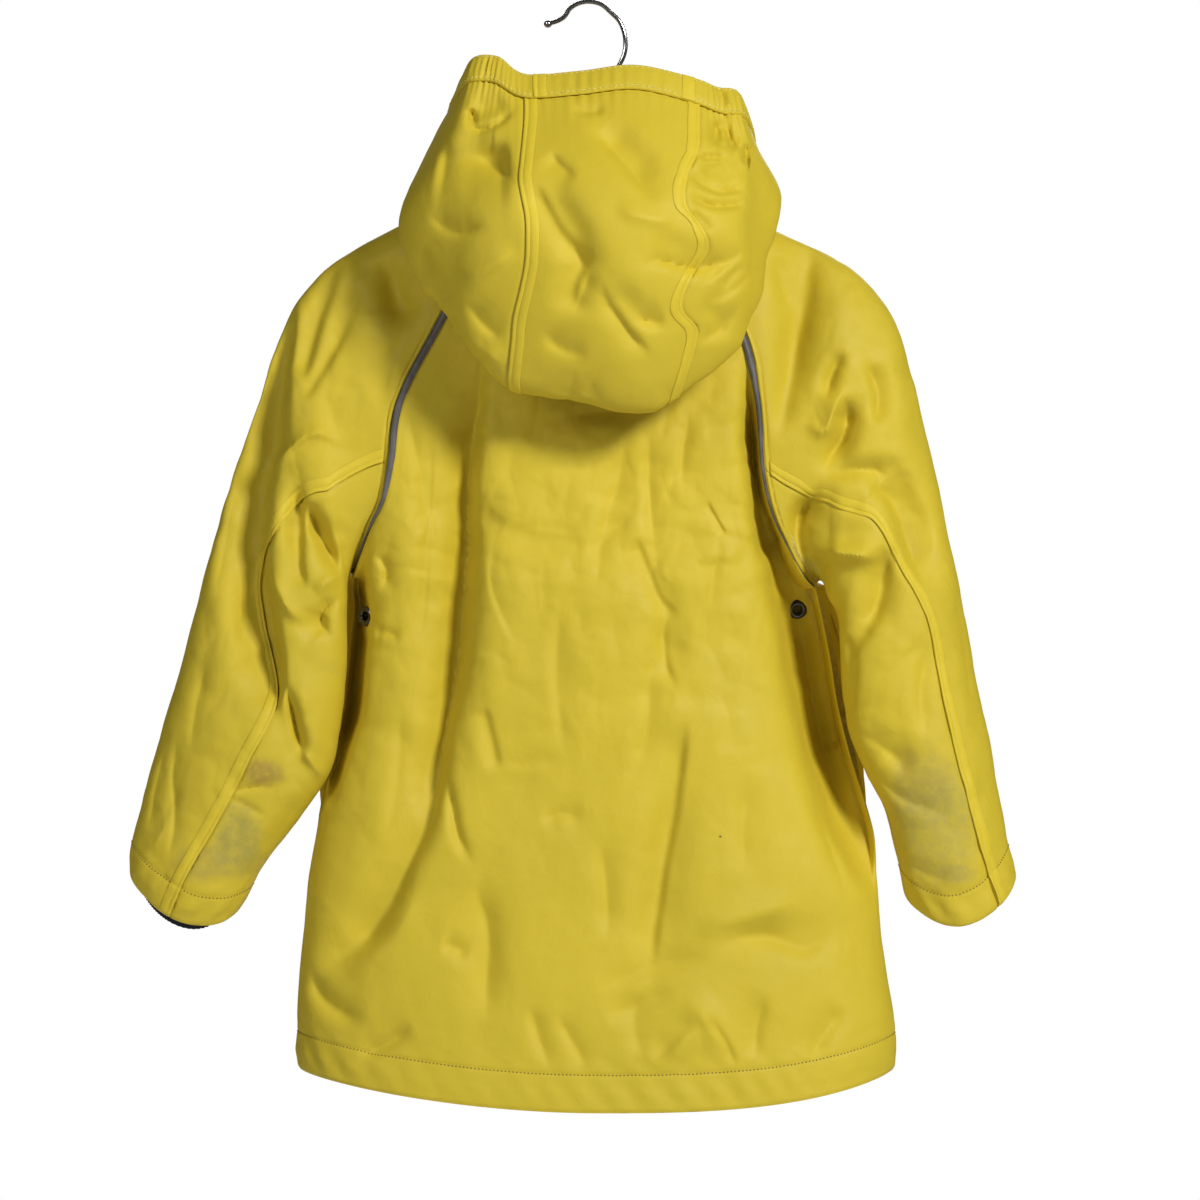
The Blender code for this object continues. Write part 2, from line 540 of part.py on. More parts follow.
def back(r, s):
    """The back panel: r down it, s across it from the left seam to the right one."""
    r, s = np.broadcast_arrays(np.asarray(r, float), np.asarray(s, float))
    left = body_edge("left", r, "back")
    right = body_edge("right", r, "back")
    knots = column(BACK_CENTRE, BACK_COLUMNS, "r")
    depth = smooth(knots, column(BACK_CENTRE, BACK_COLUMNS, "depth"), r)
    power = smooth(knots, column(BACK_CENTRE, BACK_COLUMNS, "fullness"), r)
    bulge = (1 - np.abs(2 * s - 1) ** power) ** (1 / power)
    points = mix(left, right, s[..., None])
    points[..., 1] = mix(points[..., 1], -depth, bulge)
    hem_curve = 1 - np.abs(2 * s - 1) ** np.where(s < 0.5, *HEM_CURVE)
    points[..., 2] -= BACK_HEM_DROP * np.clip(r - 1, 0, 1) ** 2 * hem_curve
    neck = neckline(mix(NECK_BACK, 1 - NECK_BACK, s))
    first = mix(neckline(NECK_BACK), neckline(1 - NECK_BACK), s[..., None])
    first[..., 1] = mix(first[..., 1], -BACK_CENTRE[0][1], (1 - np.abs(2 * s - 1) ** 2) ** 0.5)
    points += (neck - first) * fade(r / NECK_REACH)[..., None]
    margin = np.where(r < 1, *SEAM_MARGINS)
    inside = np.clip(np.minimum(s, 1 - s) / margin, 0, 1)
    folded = fold_depth(points[..., 0], points[..., 2], BACK_FOLDS)
    points[..., 1] += folded * fade(1 - inside) * (1 - fade(r / NECK_MARGIN))
    return points


def front(side, r, s):
    """A front panel: r down it, s from its raglan or side seam to the centre front edge."""
    r, s = np.broadcast_arrays(np.asarray(r, float), np.asarray(s, float))
    edge = body_edge(side, r, "front")
    knots = column(FRONT_CENTRE, FRONT_COLUMNS, "r")
    centre = smooth(knots, columns(FRONT_CENTRE, FRONT_COLUMNS, "y", "z"), r)
    power = smooth(knots, column(FRONT_CENTRE, FRONT_COLUMNS, "fullness"), r)
    bulge = (1 - (1 - s) ** power) ** (1 / power)
    points = np.empty(r.shape + (3,))
    knots = column(FRONT_BILLOW, BILLOW_COLUMNS, "q")
    billow = smooth(knots, column(FRONT_BILLOW, BILLOW_COLUMNS, "out"), r - 1)
    billow = billow * (1 - fade(s / BILLOW_PEAK)) * fade((s - BILLOW_PEAK) / BILLOW_END)
    points[..., 0] = edge[..., 0] * (1 - s) + np.sign(edge[..., 0]) * billow
    points[..., 1] = mix(edge[..., 1], centre[..., 0], bulge)
    hem = np.clip(r - 1, 0, 1)
    points[..., 2] = mix(edge[..., 2], centre[..., 1], mix(s, 1 - (1 - s) ** 2, hem))
    n = mix(NECK_FRONT, 0.0, s)
    neck = neckline(n if side == "left" else 1 - n)
    start = front_neck_row(side, s)
    points += (neck - start) * fade(r / NECK_REACH)[..., None]
    inside = np.clip(s / FRONT_MARGINS[0], 0, 1) * np.clip((1 - s) / FRONT_MARGINS[1], 0, 1)
    folded = fold_depth(points[..., 0], points[..., 2], FRONT_FOLDS)
    points[..., 1] -= folded * inside * (1 - fade(r / NECK_MARGIN))
    return points


def front_neck_row(side, s):
    """The front panel's first row before the neckline's curve is added."""
    edge = neckline(np.full(s.shape, NECK_FRONT if side == "left" else 1 - NECK_FRONT))
    bulge = (1 - (1 - s) ** FRONT_CENTRE[0][3]) ** (1 / FRONT_CENTRE[0][3])
    x = edge[..., 0] * (1 - s)
    y = mix(edge[..., 1], FRONT_CENTRE[0][1], bulge)
    z = mix(edge[..., 2], FRONT_CENTRE[0][2], s)
    return np.stack([x, y, z], axis=-1)


def hood(u, v):
    """The hood: u round from the left end of the face edge to the right one, v from face edge to neck."""
    u, v = np.broadcast_arrays(np.asarray(u, float), np.asarray(v, float))
    knots = column(HOOD, HOOD_COLUMNS, "u")
    named = []
    for point in ("rim", "swell", "fold", "tuck"):
        names = [f"{point}_{axis}" for axis in "xyz"]
        named.append(smooth(knots, columns(HOOD, HOOD_COLUMNS, *names), u))
    neck = neckline(u)
    over = neck.copy()
    over[..., 2] += HOOD_RISE
    marks = [named[0], named[1], named[2], named[3], over, neck]
    points = smooth_rows(SECTION_MARKS, np.stack(marks), v)
    under, seen = HOOD_FOLDS_FADE
    near, far = HOOD_FOLDS_BEHIND
    seen = fade((v - under) / (seen - under)) * (1 - fade(v / HOOD_FOLDS_START))
    depth = fold_depth(points[..., 0], points[..., 2], HOOD_FOLDS)
    behind = fade((points[..., 1] - near) / (far - near))
    points[..., 1] += depth * seen * behind
    return points


# ---- Solids from grids --------------------------------------------------------------------
def facing(grid, outward):
    """Unit normals of a grid at its points; outward is 1 or -1 for the grid's handedness."""
    down = np.gradient(grid, axis=0)
    across = np.gradient(grid, axis=1)
    normal = np.cross(down, across) * outward
    return normal / np.maximum(np.linalg.norm(normal, axis=-1, keepdims=True), 1e-9)


def shared_edge(first, second):
    """The mean direction of two rows of normals, for the seam where their pieces meet."""
    total = first + second
    return total / np.linalg.norm(total, axis=-1, keepdims=True)


def draw_in(grid, edge, distance):
    """Moves one edge of a grid towards its next line by a distance."""
    picks = {
        "top": (np.s_[0, :], np.s_[1, :]),
        "bottom": (np.s_[-1, :], np.s_[-2, :]),
        "left": (np.s_[:, 0], np.s_[:, 1]),
        "right": (np.s_[:, -1], np.s_[:, -2]),
    }
    edge_line, next_line = picks[edge]
    way = grid[next_line] - grid[edge_line]
    way = way / np.maximum(np.linalg.norm(way, axis=-1, keepdims=True), 1e-9)
    grid[edge_line] = grid[edge_line] + way * distance


def shell(name, grid, normals, wall, outward, material, lift=0.0, straight=None):
    """A closed solid whose outer face is the grid moved out by lift + wall or, with no lift, the grid.

    Each cell is split from its upper left corner to its lower right one or, in the columns from
    straight on, from its upper right corner to its lower left one.
    """
    outer = grid + normals * (lift + wall) if lift else grid
    inner = grid + normals * lift if lift else grid - normals * wall
    rows, cols = grid.shape[:2]
    count = rows * cols
    points = np.concatenate([outer.reshape(-1, 3), inner.reshape(-1, 3)])
    place = np.arange(count).reshape(rows, cols)
    a, b, c, d = place[:-1, :-1], place[1:, :-1], place[1:, 1:], place[:-1, 1:]
    turned_from = cols if straight is None else straight
    crossed = np.broadcast_to(np.arange(cols - 1) >= turned_from, a.shape)
    first = np.where(crossed[..., None], np.stack([a, b, d], axis=-1), np.stack([a, b, c], axis=-1))
    second = np.where(crossed[..., None], np.stack([b, c, d], axis=-1), np.stack([a, c, d], axis=-1))
    halves = np.concatenate([first.reshape(-1, 3), second.reshape(-1, 3)])
    if outward < 0:
        halves = halves[:, ::-1]
    faces = [tuple(half) for half in halves]
    faces += [tuple(half[::-1] + count) for half in halves]
    rim = np.concatenate([place[0, :-1], place[:-1, -1], place[-1, :0:-1], place[:0:-1, 0]])
    after = np.roll(rim, -1)
    for a, b in zip(rim, after):
        side = (a, b, b + count, a + count)
        faces.append(side if outward > 0 else side[::-1])
    return mesh_object(name, points, faces, material)


def tube(name, grid, normals, wall, material):
    """A ring-shaped wall with two open ends: rows run round it, and the last column joins the first."""
    outer = grid
    inner = grid - normals * wall
    rows, cols = grid.shape[:2]
    count = rows * cols
    points = np.concatenate([outer.reshape(-1, 3), inner.reshape(-1, 3)])
    place = np.arange(count).reshape(rows, cols)
    beside = np.roll(place, -1, axis=1)
    quads = np.stack([place[:-1], place[1:], beside[1:], beside[:-1]], axis=-1).reshape(-1, 4)
    faces = [tuple(quad) for quad in quads]
    faces += [tuple(quad[::-1] + count) for quad in quads]
    for line, turn in ((0, 1), (-1, -1)):
        for a, b in zip(place[line], beside[line]):
            faces.append((b + count, a + count, a, b)[::turn])
    return mesh_object(name, points, faces, material)


def mesh_object(name, points, faces, material):
    mesh = bpy.data.meshes.new(name)
    mesh.from_pydata([tuple(point) for point in points * MM], [], faces)
    mesh.materials.append(material)
    mesh.shade_smooth()
    mesh.set_sharp_from_angle(angle=SHARP_ANGLE)
    thing = bpy.data.objects.new(name, mesh)
    bpy.context.scene.collection.objects.link(thing)
    return thing


def plain_material(name, colour, roughness, metallic=0.0):
    material = bpy.data.materials.new(name)
    material.use_nodes = True
    shader = material.node_tree.nodes["Principled BSDF"]
    shader.inputs["Base Color"].default_value = (*colour, 1.0)
    shader.inputs["Roughness"].default_value = roughness
    shader.inputs["Metallic"].default_value = metallic
    return material


# ---- Grid lines ---------------------------------------------------------------------------
def spread(*stops):
    """Joins evenly spaced runs: start, (end, steps), (end, steps) and so on."""
    line = [stops[0]]
    for end, steps in stops[1:]:
        line += list(np.linspace(line[-1], end, steps + 1)[1:])
    return np.array(line, float)


FINE = 300                  # places in which a length along a curve is measured
BACK_OF_ARM_STEPS = 6       # from the arm seam's strip to the back raglan seam's end
STRIP_AT_ARMHOLE = ARM_SEAM + 0.0148        # where the strip's upper edge meets the armhole
STRIP_START = 0.06          # share of the sleeve over which the strip takes its full width
UNDER_COLUMNS = spread(UNDERARM_END, (ARM_SEAM, 6))
OVER_COLUMNS = spread(BACK_NECK, (TOP, 2), (FRONT_NECK, 2), (1.0, 8))[1:]
TOP_COLUMN = BACK_OF_ARM_STEPS + 3          # the top panel's column along the top of the arm
SLEEVE_ROWS = spread(0.0, (0.06, 2), (0.20, 4), (0.40, 4), (0.88, 8), (1.0, 3))
SIDE_ROWS = spread(0.0, (0.06, 2), (0.3, 4), (1.0, 8))[1:]
BACK_COLUMN_COUNT = 22
BACK_EVENNESS = 0.45        # 1 spaces the back's columns evenly, 0 crowds them to the sides
BACK_SIDE = 0.2             # share of the back, from each side, that holds its piping's columns
FRONT_COLUMN_COUNT = 12     # from the seam to the placket's edge
FRONT_CROWDING = 1.5        # above 1 the front's columns crowd to its side
HOOD_ROWS = spread(0.0, (0.55, 7), (0.92, 5), (1.0, 2))
HOOD_STRIP_ROWS = slice(1, -3)              # from the casing's lower edge to under the bag
HOOD_LEFT_COLUMNS, HOOD_CENTRE_COLUMNS, HOOD_RIGHT_COLUMNS = 15, 9, 14
HOOD_SPANS = {              # each panel's first and last edge and its columns
    "left": (0.0, "left", HOOD_LEFT_COLUMNS),
    "centre": ("left", "right", HOOD_CENTRE_COLUMNS),
    "right": ("right", 1.0, HOOD_RIGHT_COLUMNS),
}
HOOD_END = 0.2              # share of the face edge over which the casing narrows to its ends

# Where the rows of the back and of the fronts meet the sleeve's columns, and then the side seams.
ARMHOLE_TOP = np.concatenate([[ARM_SEAM], np.linspace(STRIP_AT_ARMHOLE, BACK_NECK, BACK_OF_ARM_STEPS + 1)])
BACK_ARMHOLE = np.concatenate([ARMHOLE_TOP[::-1], UNDER_COLUMNS[-2::-1]])
FRONT_ARMHOLE = OVER_COLUMNS[OVER_COLUMNS >= FRONT_NECK - 1e-9]
BACK_ROWS = np.concatenate([1 - BACK_ARMHOLE / BACK_NECK, 1 + SIDE_ROWS])
FRONT_ROWS = np.concatenate([(FRONT_ARMHOLE - FRONT_NECK) / (1 - FRONT_NECK), 1 + SIDE_ROWS])

# The edges of each kind of panel that are sewn, with the share of the seam gap each draws in.
SEWN_EDGES = {
    "back": (("left", 0.5), ("right", 0.5), ("top", 0.5)),
    "front": (("left", 0.5), ("right", 0.5), ("top", 0.5)),
    "under": (("left", 1.0), ("right", 1.0), ("top", 0.5)),
    "top": (("left", 1.0), ("right", 1.0), ("top", 0.5)),
    "hood": (("left", 0.5), ("right", 0.5), ("bottom", 3.0)),
}


def place_at(points, places, distance):
    """Where each row of points has run a distance from its first point, read between its places."""
    steps = np.linalg.norm(np.diff(points, axis=1), axis=-1)
    run = np.concatenate([np.zeros((len(steps), 1)), np.cumsum(steps, axis=1)], axis=1)
    places = np.broadcast_to(places, run.shape)
    distance = np.broadcast_to(distance, (len(run),))
    return np.array([np.interp(far, line, place) for far, line, place in zip(distance, run, places)])


def sleeve_columns(side):
    """Places round the top panel for each of its rows: the strip has its own column."""
    fine = np.linspace(ARM_SEAM, TOP, FINE)
    strip = place_at(sleeve(side, SLEEVE_ROWS[:, None], fine[None, :]), fine, STRIP_WIDTH)
    strip = mix(STRIP_AT_ARMHOLE, strip, np.clip(SLEEVE_ROWS / STRIP_START, 0, 1))
    share = np.linspace(0, 1, BACK_OF_ARM_STEPS + 1)
    back_of_arm = mix(strip[:, None], BACK_NECK, share[None, :])
    seam = np.full((len(strip), 1), ARM_SEAM)
    over = np.broadcast_to(OVER_COLUMNS, (len(strip), len(OVER_COLUMNS)))
    return np.concatenate([seam, back_of_arm, over], axis=1)


def back_grid():
    """The back's points, with two columns at each side under the piping."""
    fine = np.linspace(0, BACK_SIDE, FINE)
    rows = BACK_ROWS[:, None]
    left = back(rows, fine[None, :])
    right = back(rows, 1 - fine[None, :])
    left_half = place_at(left, fine, PIPING_WIDTH / 2)[:, None]
    left_whole = place_at(left, fine, PIPING_WIDTH)[:, None]
    right_half = place_at(right, fine, PIPING_WIDTH / 2)[:, None]
    right_whole = place_at(right, fine, PIPING_WIDTH)[:, None]
    even = np.linspace(0, 1, BACK_COLUMN_COUNT + 1)[None, :]
    across = mix((1 - np.cos(math.pi * even)) / 2, even, BACK_EVENNESS)
    middle = mix(left_whole, 1 - right_whole, across)
    edge = np.zeros_like(left_half)
    return back(rows, np.concatenate([edge, left_half, middle, 1 - right_half, edge + 1], axis=1))


def front_grid(side):
    """A front's points, with its last three columns under the placket."""
    edge = np.abs(body_edge(side, FRONT_ROWS, "front")[:, 0])[:, None]
    across = np.linspace(0, 1, FRONT_COLUMN_COUNT + 1)[None, :] ** FRONT_CROWDING
    x = mix(edge, PLACKET_HALF_WIDTH, across)
    x = np.concatenate([x, np.full_like(edge, PLACKET_HALF_WIDTH / 2), np.zeros_like(edge)], axis=1)
    return front(side, FRONT_ROWS[:, None], 1 - x / edge)


def hood_edge(end, v):
    """u along an edge of a hood panel: one of its two seams, or a fixed place."""
    if end not in ("left", "right"):
        return np.full_like(v, end)
    knots = column(SEAM_WANDER, SEAM_WANDER_COLUMNS, "v")
    return HOOD_SEAMS[end] + smooth(knots, column(SEAM_WANDER, SEAM_WANDER_COLUMNS, end), v)


def casing_foot(u):
    """v at the casing's lower edge."""
    fine = np.linspace(0, 1, FINE)
    width = mix(CASING_AT_ENDS, CASING_WIDTH, np.clip(np.minimum(u, 1 - u) / HOOD_END, 0, 1))
    return place_at(hood(u[:, None], fine[None, :]), fine, width)


def hood_lines(which, shares):
    """A hood panel's first edge, last edge and rows, its second row at the casing's lower edge."""
    first, last, _ = HOOD_SPANS[which]
    u = mix(HOOD_SEAMS.get(first, first), HOOD_SEAMS.get(last, last), shares)
    foot = casing_foot(u)[None, :]
    v = np.concatenate([np.zeros_like(foot), mix(foot, 1.0, HOOD_ROWS[:, None])])
    return hood_edge(first, v), hood_edge(last, v), v


def hood_grid(which):
    """A hood panel's points; the centre one has a column under the edge of each strip."""
    count = HOOD_SPANS[which][2]
    shares = np.linspace(0, 1, count + 1)
    start, end, v = hood_lines(which, shares)
    if which != "centre":
        return hood(mix(start, end, shares), v)
    fine = np.linspace(0, 1, FINE)
    fine_start, fine_end, fine_v = hood_lines(which, fine)
    rows = hood(mix(fine_start, fine_end, fine), fine_v)
    near = place_at(rows, fine, STRIP_WIDTH)[:, None]
    far = place_at(rows[:, ::-1], fine, STRIP_WIDTH)[:, None]
    middle = mix(near, 1 - far, np.linspace(0, 1, count - 1)[None, :])
    shares = np.concatenate([np.zeros_like(near), middle, np.ones_like(near)], axis=1)
    return hood(mix(start, end, shares), v)


# ---- The coat's pieces --------------------------------------------------------------------
def mirror_column(name):
    """The first column of a panel's right half, whose cells are split the mirrored way."""
    halves = {
        "back_panel": (BACK_COLUMN_COUNT + 4) // 2,
        "hood_centre": HOOD_CENTRE_COLUMNS // 2,
        "hood_right": 0,
    }
    return halves.get(name)


def panels():
    """The grids and normals of every panel, with one direction along each shared seam."""
    grids = {"back_panel": back_grid()}
    for side in SIDES:
        rows = SLEEVE_ROWS[:, None]
        grids[f"front_{side}"] = front_grid(side)
        grids[f"sleeve_{side}_under"] = sleeve(side, rows, UNDER_COLUMNS[None, :])
        grids[f"sleeve_{side}_top"] = sleeve(side, rows, sleeve_columns(side))
    for which in HOOD_SPANS:
        grids[f"hood_{which}"] = hood_grid(which)
    normals = {name: facing(grid, handedness(name)) for name, grid in grids.items()}
    join_seams(normals)
    return grids, normals


def handedness(name):
    """-1 where a panel's columns run against the clock seen from outside, and 1 elsewhere."""
    return -1 if name in ("front_left", "sleeve_left_under", "sleeve_left_top") else 1


def join_seams(normals):
    """Gives the two panels at each seam the same directions along it, so that their walls don't cross."""
    for side in SIDES:
        join_body_seams(side, normals)
    centre = shared_edge(normals["front_left"][:, -1], normals["front_right"][:, -1])
    normals["front_left"][:, -1] = centre
    normals["front_right"][:, -1] = centre
    for first, second in (("hood_left", "hood_centre"), ("hood_centre", "hood_right")):
        seam = shared_edge(normals[first][:, -1], normals[second][:, 0])
        normals[first][:, -1] = seam
        normals[second][:, 0] = seam


def join_body_seams(side, normals):
    """The seams of one side: down the arm, round the armhole, and down the body from the underarm."""
    edge = 0 if side == "left" else -1
    back_rows, front_rows, top_count = len(BACK_ARMHOLE), len(FRONT_ARMHOLE), len(ARMHOLE_TOP)
    back_normals = normals["back_panel"]
    front_normals = normals[f"front_{side}"]
    under = normals[f"sleeve_{side}_under"]
    top = normals[f"sleeve_{side}_top"]
    for under_column, top_column in ((-1, 0), (0, -1)):
        seam = shared_edge(under[:, under_column], top[:, top_column])
        under[:, under_column] = seam
        top[:, top_column] = seam
    armhole_normals = np.concatenate([top[0, :top_count][::-1], under[0, :-1][::-1]])
    seam = shared_edge(armhole_normals, back_normals[:back_rows, edge])
    back_normals[:back_rows, edge] = seam
    top[0, :top_count] = seam[:top_count][::-1]
    under[0, :] = seam[top_count - 1 :][::-1]
    seam = shared_edge(top[0, -front_rows:], front_normals[:front_rows, 0])
    front_normals[:front_rows, 0] = seam
    top[0, -front_rows:] = seam
    corner = back_normals[back_rows - 1, edge] + front_normals[front_rows - 1, 0] + under[1, 0]
    corner = corner / np.linalg.norm(corner)
    back_normals[back_rows - 1, edge] = corner
    front_normals[front_rows - 1, 0] = corner
    under[0, 0] = corner
    top[0, -1] = corner
    seam = shared_edge(back_normals[back_rows:, edge], front_normals[front_rows:, 0])
    back_normals[back_rows:, edge] = seam
    front_normals[front_rows:, 0] = seam


def cut_and_close(grids, normals, material):
    """Draws each panel in at its sewn edges and gives it its thickness."""
    for name, grid in grids.items():
        cut = grid.copy()
        for edge, share in SEWN_EDGES[name.split("_")[-1] if "sleeve" in name else name.split("_")[0]]:
            draw_in(cut, edge, SEAM_GAP * share)
        if name in ("hood_left", "hood_right"):
            draw_in(cut, name.removeprefix("hood_"), THROAT_SETBACK)
        shell(name, cut, normals[name], WALL, handedness(name), material, straight=mirror_column(name))


def lay_on(name, grid, normals, height, outward, material, straight=None):
    """What lies on a panel: a patch of its points moved out, with one height or one for each column."""
    height = np.broadcast_to(height, (grid.shape[1],))[None, :, None]
    return shell(name, grid, normals, height, outward, material, lift=LIFT, straight=straight)


def hood_strips(grids, normals, material):
    """The lapped strips over the hood's two seams, on the edges of its centre panel."""
    for side, columns_under, straight in (("left", slice(0, 2), None), ("right", slice(-2, None), 0)):
        patch = grids["hood_centre"][HOOD_STRIP_ROWS, columns_under]
        ways = normals["hood_centre"][HOOD_STRIP_ROWS, columns_under]
        lay_on(f"hood_seam_{side}", patch, ways, STRIP_HEIGHT, 1, material, straight)


def hood_casing(grids, normals, material):
    """The stitched casing round the hood's face edge, over the first rows of its three panels."""
    starts = {"hood_left": 0, "hood_centre": 1, "hood_right": 1}
    band = np.concatenate([grids[name][:2, start:] for name, start in starts.items()], axis=1)
    ways = np.concatenate([normals[name][:2, start:] for name, start in starts.items()], axis=1)
    for edge, setback in CASING_SETBACKS:
        draw_in(band, edge, setback)
    middle = HOOD_LEFT_COLUMNS + mirror_column("hood_centre")
    lay_on("hood_casing", band, ways, CASING_HEIGHT, 1, material, middle)


def sleeve_strip(side, grids, normals, material):
    """The lapped strip down the back of the arm, on the edge of the sleeve's top panel."""
    name = f"sleeve_{side}_top"
    patch = grids[name][:, :2].copy()
    draw_in(patch, "top", STRIP_SETBACK)
    lay_on(f"sleeve_seam_{side}", patch, normals[name][:, :2], STRIP_HEIGHT, handedness(name), material)


def piping(side, grids, normals, material):
    """The reflective piping in the back raglan seam, a low rounded ridge on the back's edge."""
    rows = slice(1, len(BACK_ARMHOLE) - 2)
    columns_under, seam, straight = (slice(0, 3), 0, None) if side == "left" else (slice(-3, None), -1, 0)
    patch = grids["back_panel"][rows, columns_under]
    ways = np.repeat(normals["back_panel"][rows, seam][:, None], patch.shape[1], axis=1)
    heights = np.array(PIPING_PROFILE) * PIPING_HEIGHT
    lay_on(f"piping_{side}", patch, ways, heights, 1, material, straight)


def inner_cuff(side, grids, normals, material):
    """The knitted cuff: sewn inside the sleeve, then narrower than it down to the wrist."""
    parts = [f"sleeve_{side}_{part}" for part in ("under", "top")]
    ring = np.concatenate([grids[part][-len(CUFF_INSETS) :, :-1] for part in parts], axis=1)
    ways = np.concatenate([normals[part][-len(CUFF_INSETS) :, :-1] for part in parts], axis=1)
    end = ring[-1] - ring[-2]
    end = end / np.linalg.norm(end, axis=-1, keepdims=True)
    ring[-1] = ring[-1] + end * CUFF_REACH[side]
    ring = ring - ways * np.array(CUFF_INSETS)[:, None, None]
    turn = slice(None, None, SIDES[side])
    tube(f"inner_cuff_{side}", ring[:, turn], ways[:, turn], CUFF_WALL, material)


def placket(grids, normals, material):
    """The fly over the front opening, and its points and directions for the studs on it."""
    pieces = {"front_left": slice(-3, None), "front_right": slice(-2, -4, -1)}
    sheet = np.concatenate([grids[name][:, part] for name, part in pieces.items()], axis=1)
    ways = np.concatenate([normals[name][:, part] for name, part in pieces.items()], axis=1)
    for edge, setback in PLACKET_SETBACKS:
        draw_in(sheet, edge, setback)
    lay_on("placket", sheet, ways, PLACKET_HEIGHT, -1, material)
    return sheet, ways


def press_studs(sheet, ways, material):
    """The press studs down the middle of the placket."""
    middle = sheet.shape[1] // 2
    centre = sheet[:, middle]
    down = np.concatenate([[0], np.cumsum(np.linalg.norm(np.diff(centre, axis=0), axis=-1))])
    along = np.linspace(STUDS_FROM_TOP, down[-1] - STUDS_FROM_HEM, STUD_COUNT)
    bases = smooth(down, centre, along)
    directions = smooth(down, ways[:, middle], along)
    for place, (base, way) in enumerate(zip(bases, directions)):
        way = way / np.linalg.norm(way)
        cap(f"press_stud_{place + 1}", base + way * (LIFT + PLACKET_HEIGHT + SEAM_GAP), way, material)


def cap(name, base, way, material):
    """A low cap with a sloping edge and a flat back."""
    bpy.ops.mesh.primitive_cylinder_add(
        vertices=STUD_SIDES, radius=STUD_RADIUS * MM, depth=STUD_HEIGHT * MM, end_fill_type="NGON"
    )
    stud = bpy.context.object
    stud.name = name
    stud.data.name = name
    for vertex in stud.data.vertices:
        if vertex.co.z > 0:
            vertex.co.x *= STUD_CROWN
            vertex.co.y *= STUD_CROWN
    stand(stud, base + way * STUD_HEIGHT / 2, way)
    stud.data.materials.append(material)


def stand(thing, centre, way):
    """Places an object at a point in millimetres with its own Z axis along a direction."""
    thing.location = centre * MM
    thing.rotation_mode = "QUATERNION"
    thing.rotation_quaternion = Vector(way).to_track_quat("Z", "Y")


def spot_on(grid, normals, x, z, radius):
    """The point of a panel's facets at (x, z), its normal, and how far the cloth rises round it."""
    share = np.linspace(0, 1, SPOT_STEPS, endpoint=False)
    down, across = share[:, None, None, None, None], share[None, :, None, None, None]
    upper = mix(grid[:-1, :-1], grid[:-1, 1:], across)
    lower = mix(grid[1:, :-1], grid[1:, 1:], across)
    spots = mix(upper, lower, down).reshape(-1, 3)
    ways = normals[:-1, :-1] + normals[1:, 1:]
    ways = np.broadcast_to(ways, (SPOT_STEPS, SPOT_STEPS) + ways.shape).reshape(-1, 3)
    point = spots[int(np.argmin((spots[:, 0] - x) ** 2 + (spots[:, 2] - z) ** 2))]
    near = np.linalg.norm(spots - point, axis=1) < radius
    normal = ways[near].mean(axis=0)
    normal /= np.linalg.norm(normal)
    return point, normal, float(((spots[near] - point) @ normal).max())


def eyelet(side, grids, normals, material):
    """A vent eyelet: a rounded ring on the cloth, with its barrel through the hole."""
    x, z = EYELETS[side]
    margin = EYELET_RADIUS + 1
    point, normal, rise = spot_on(grids["back_panel"], normals["back_panel"], x, z, margin)
    seat = SEAM_GAP + rise
    barrel = EYELET_HOLE + EYELET_BARREL_WALL
    inside = -WALL - EYELET_BARREL_REACH
    over = [
        (mix(EYELET_HOLE, EYELET_RADIUS, out), seat + up * EYELET_HEIGHT) for out, up in EYELET_PROFILE
    ]
    under = [(EYELET_RADIUS, seat), (barrel, seat), (barrel, inside)]
    profile = [(EYELET_HOLE, inside)] + over + under
    turned(f"eyelet_{side}", profile, point, normal, material)
    eyelet_hole(side, point, normal)


def turned(name, profile, base, way, material):
    """A ring turned round an axis from a profile of (radius, height) points."""
    side = np.cross(way, (0.0, 0.0, 1.0))
    side /= np.linalg.norm(side)
    up = np.cross(side, way)
    angles = np.linspace(0, 2 * math.pi, EYELET_SIDES, endpoint=False)[:, None, None]
    radius, height = (np.array(profile)[None, :, place, None] for place in (0, 1))
    points = base + (side * np.cos(angles) + up * np.sin(angles)) * radius + way * height
    place = np.arange(points.shape[0] * points.shape[1]).reshape(points.shape[:2])
    beside = np.roll(place, -1, axis=0)
    below = np.roll(place, -1, axis=1)
    both = np.roll(beside, -1, axis=1)
    quads = np.stack([place, beside, both, below], axis=-1).reshape(-1, 4)
    mesh_object(name, points.reshape(-1, 3), [tuple(quad) for quad in quads], material)


def eyelet_hole(side, point, normal):
    """Cuts the hole in the back panel that an eyelet's barrel goes through."""
    radius = EYELET_HOLE + EYELET_BARREL_WALL + HOLE_CLEARANCE
    bpy.ops.mesh.primitive_cylinder_add(
        vertices=EYELET_SIDES, radius=radius * MM, depth=HOLE_CUTTER_LENGTH * MM
    )
    cutter = bpy.context.object
    cutter.name = f"hole_cutter_{side}"
    cutter.hide_render = True
    cutter.display_type = "WIRE"
    stand(cutter, point, normal)
    cut = bpy.data.objects["back_panel"].modifiers.new(f"eyelet hole {side}", "BOOLEAN")
    cut.operation = "DIFFERENCE"
    cut.solver = "EXACT"
    cut.object = cutter


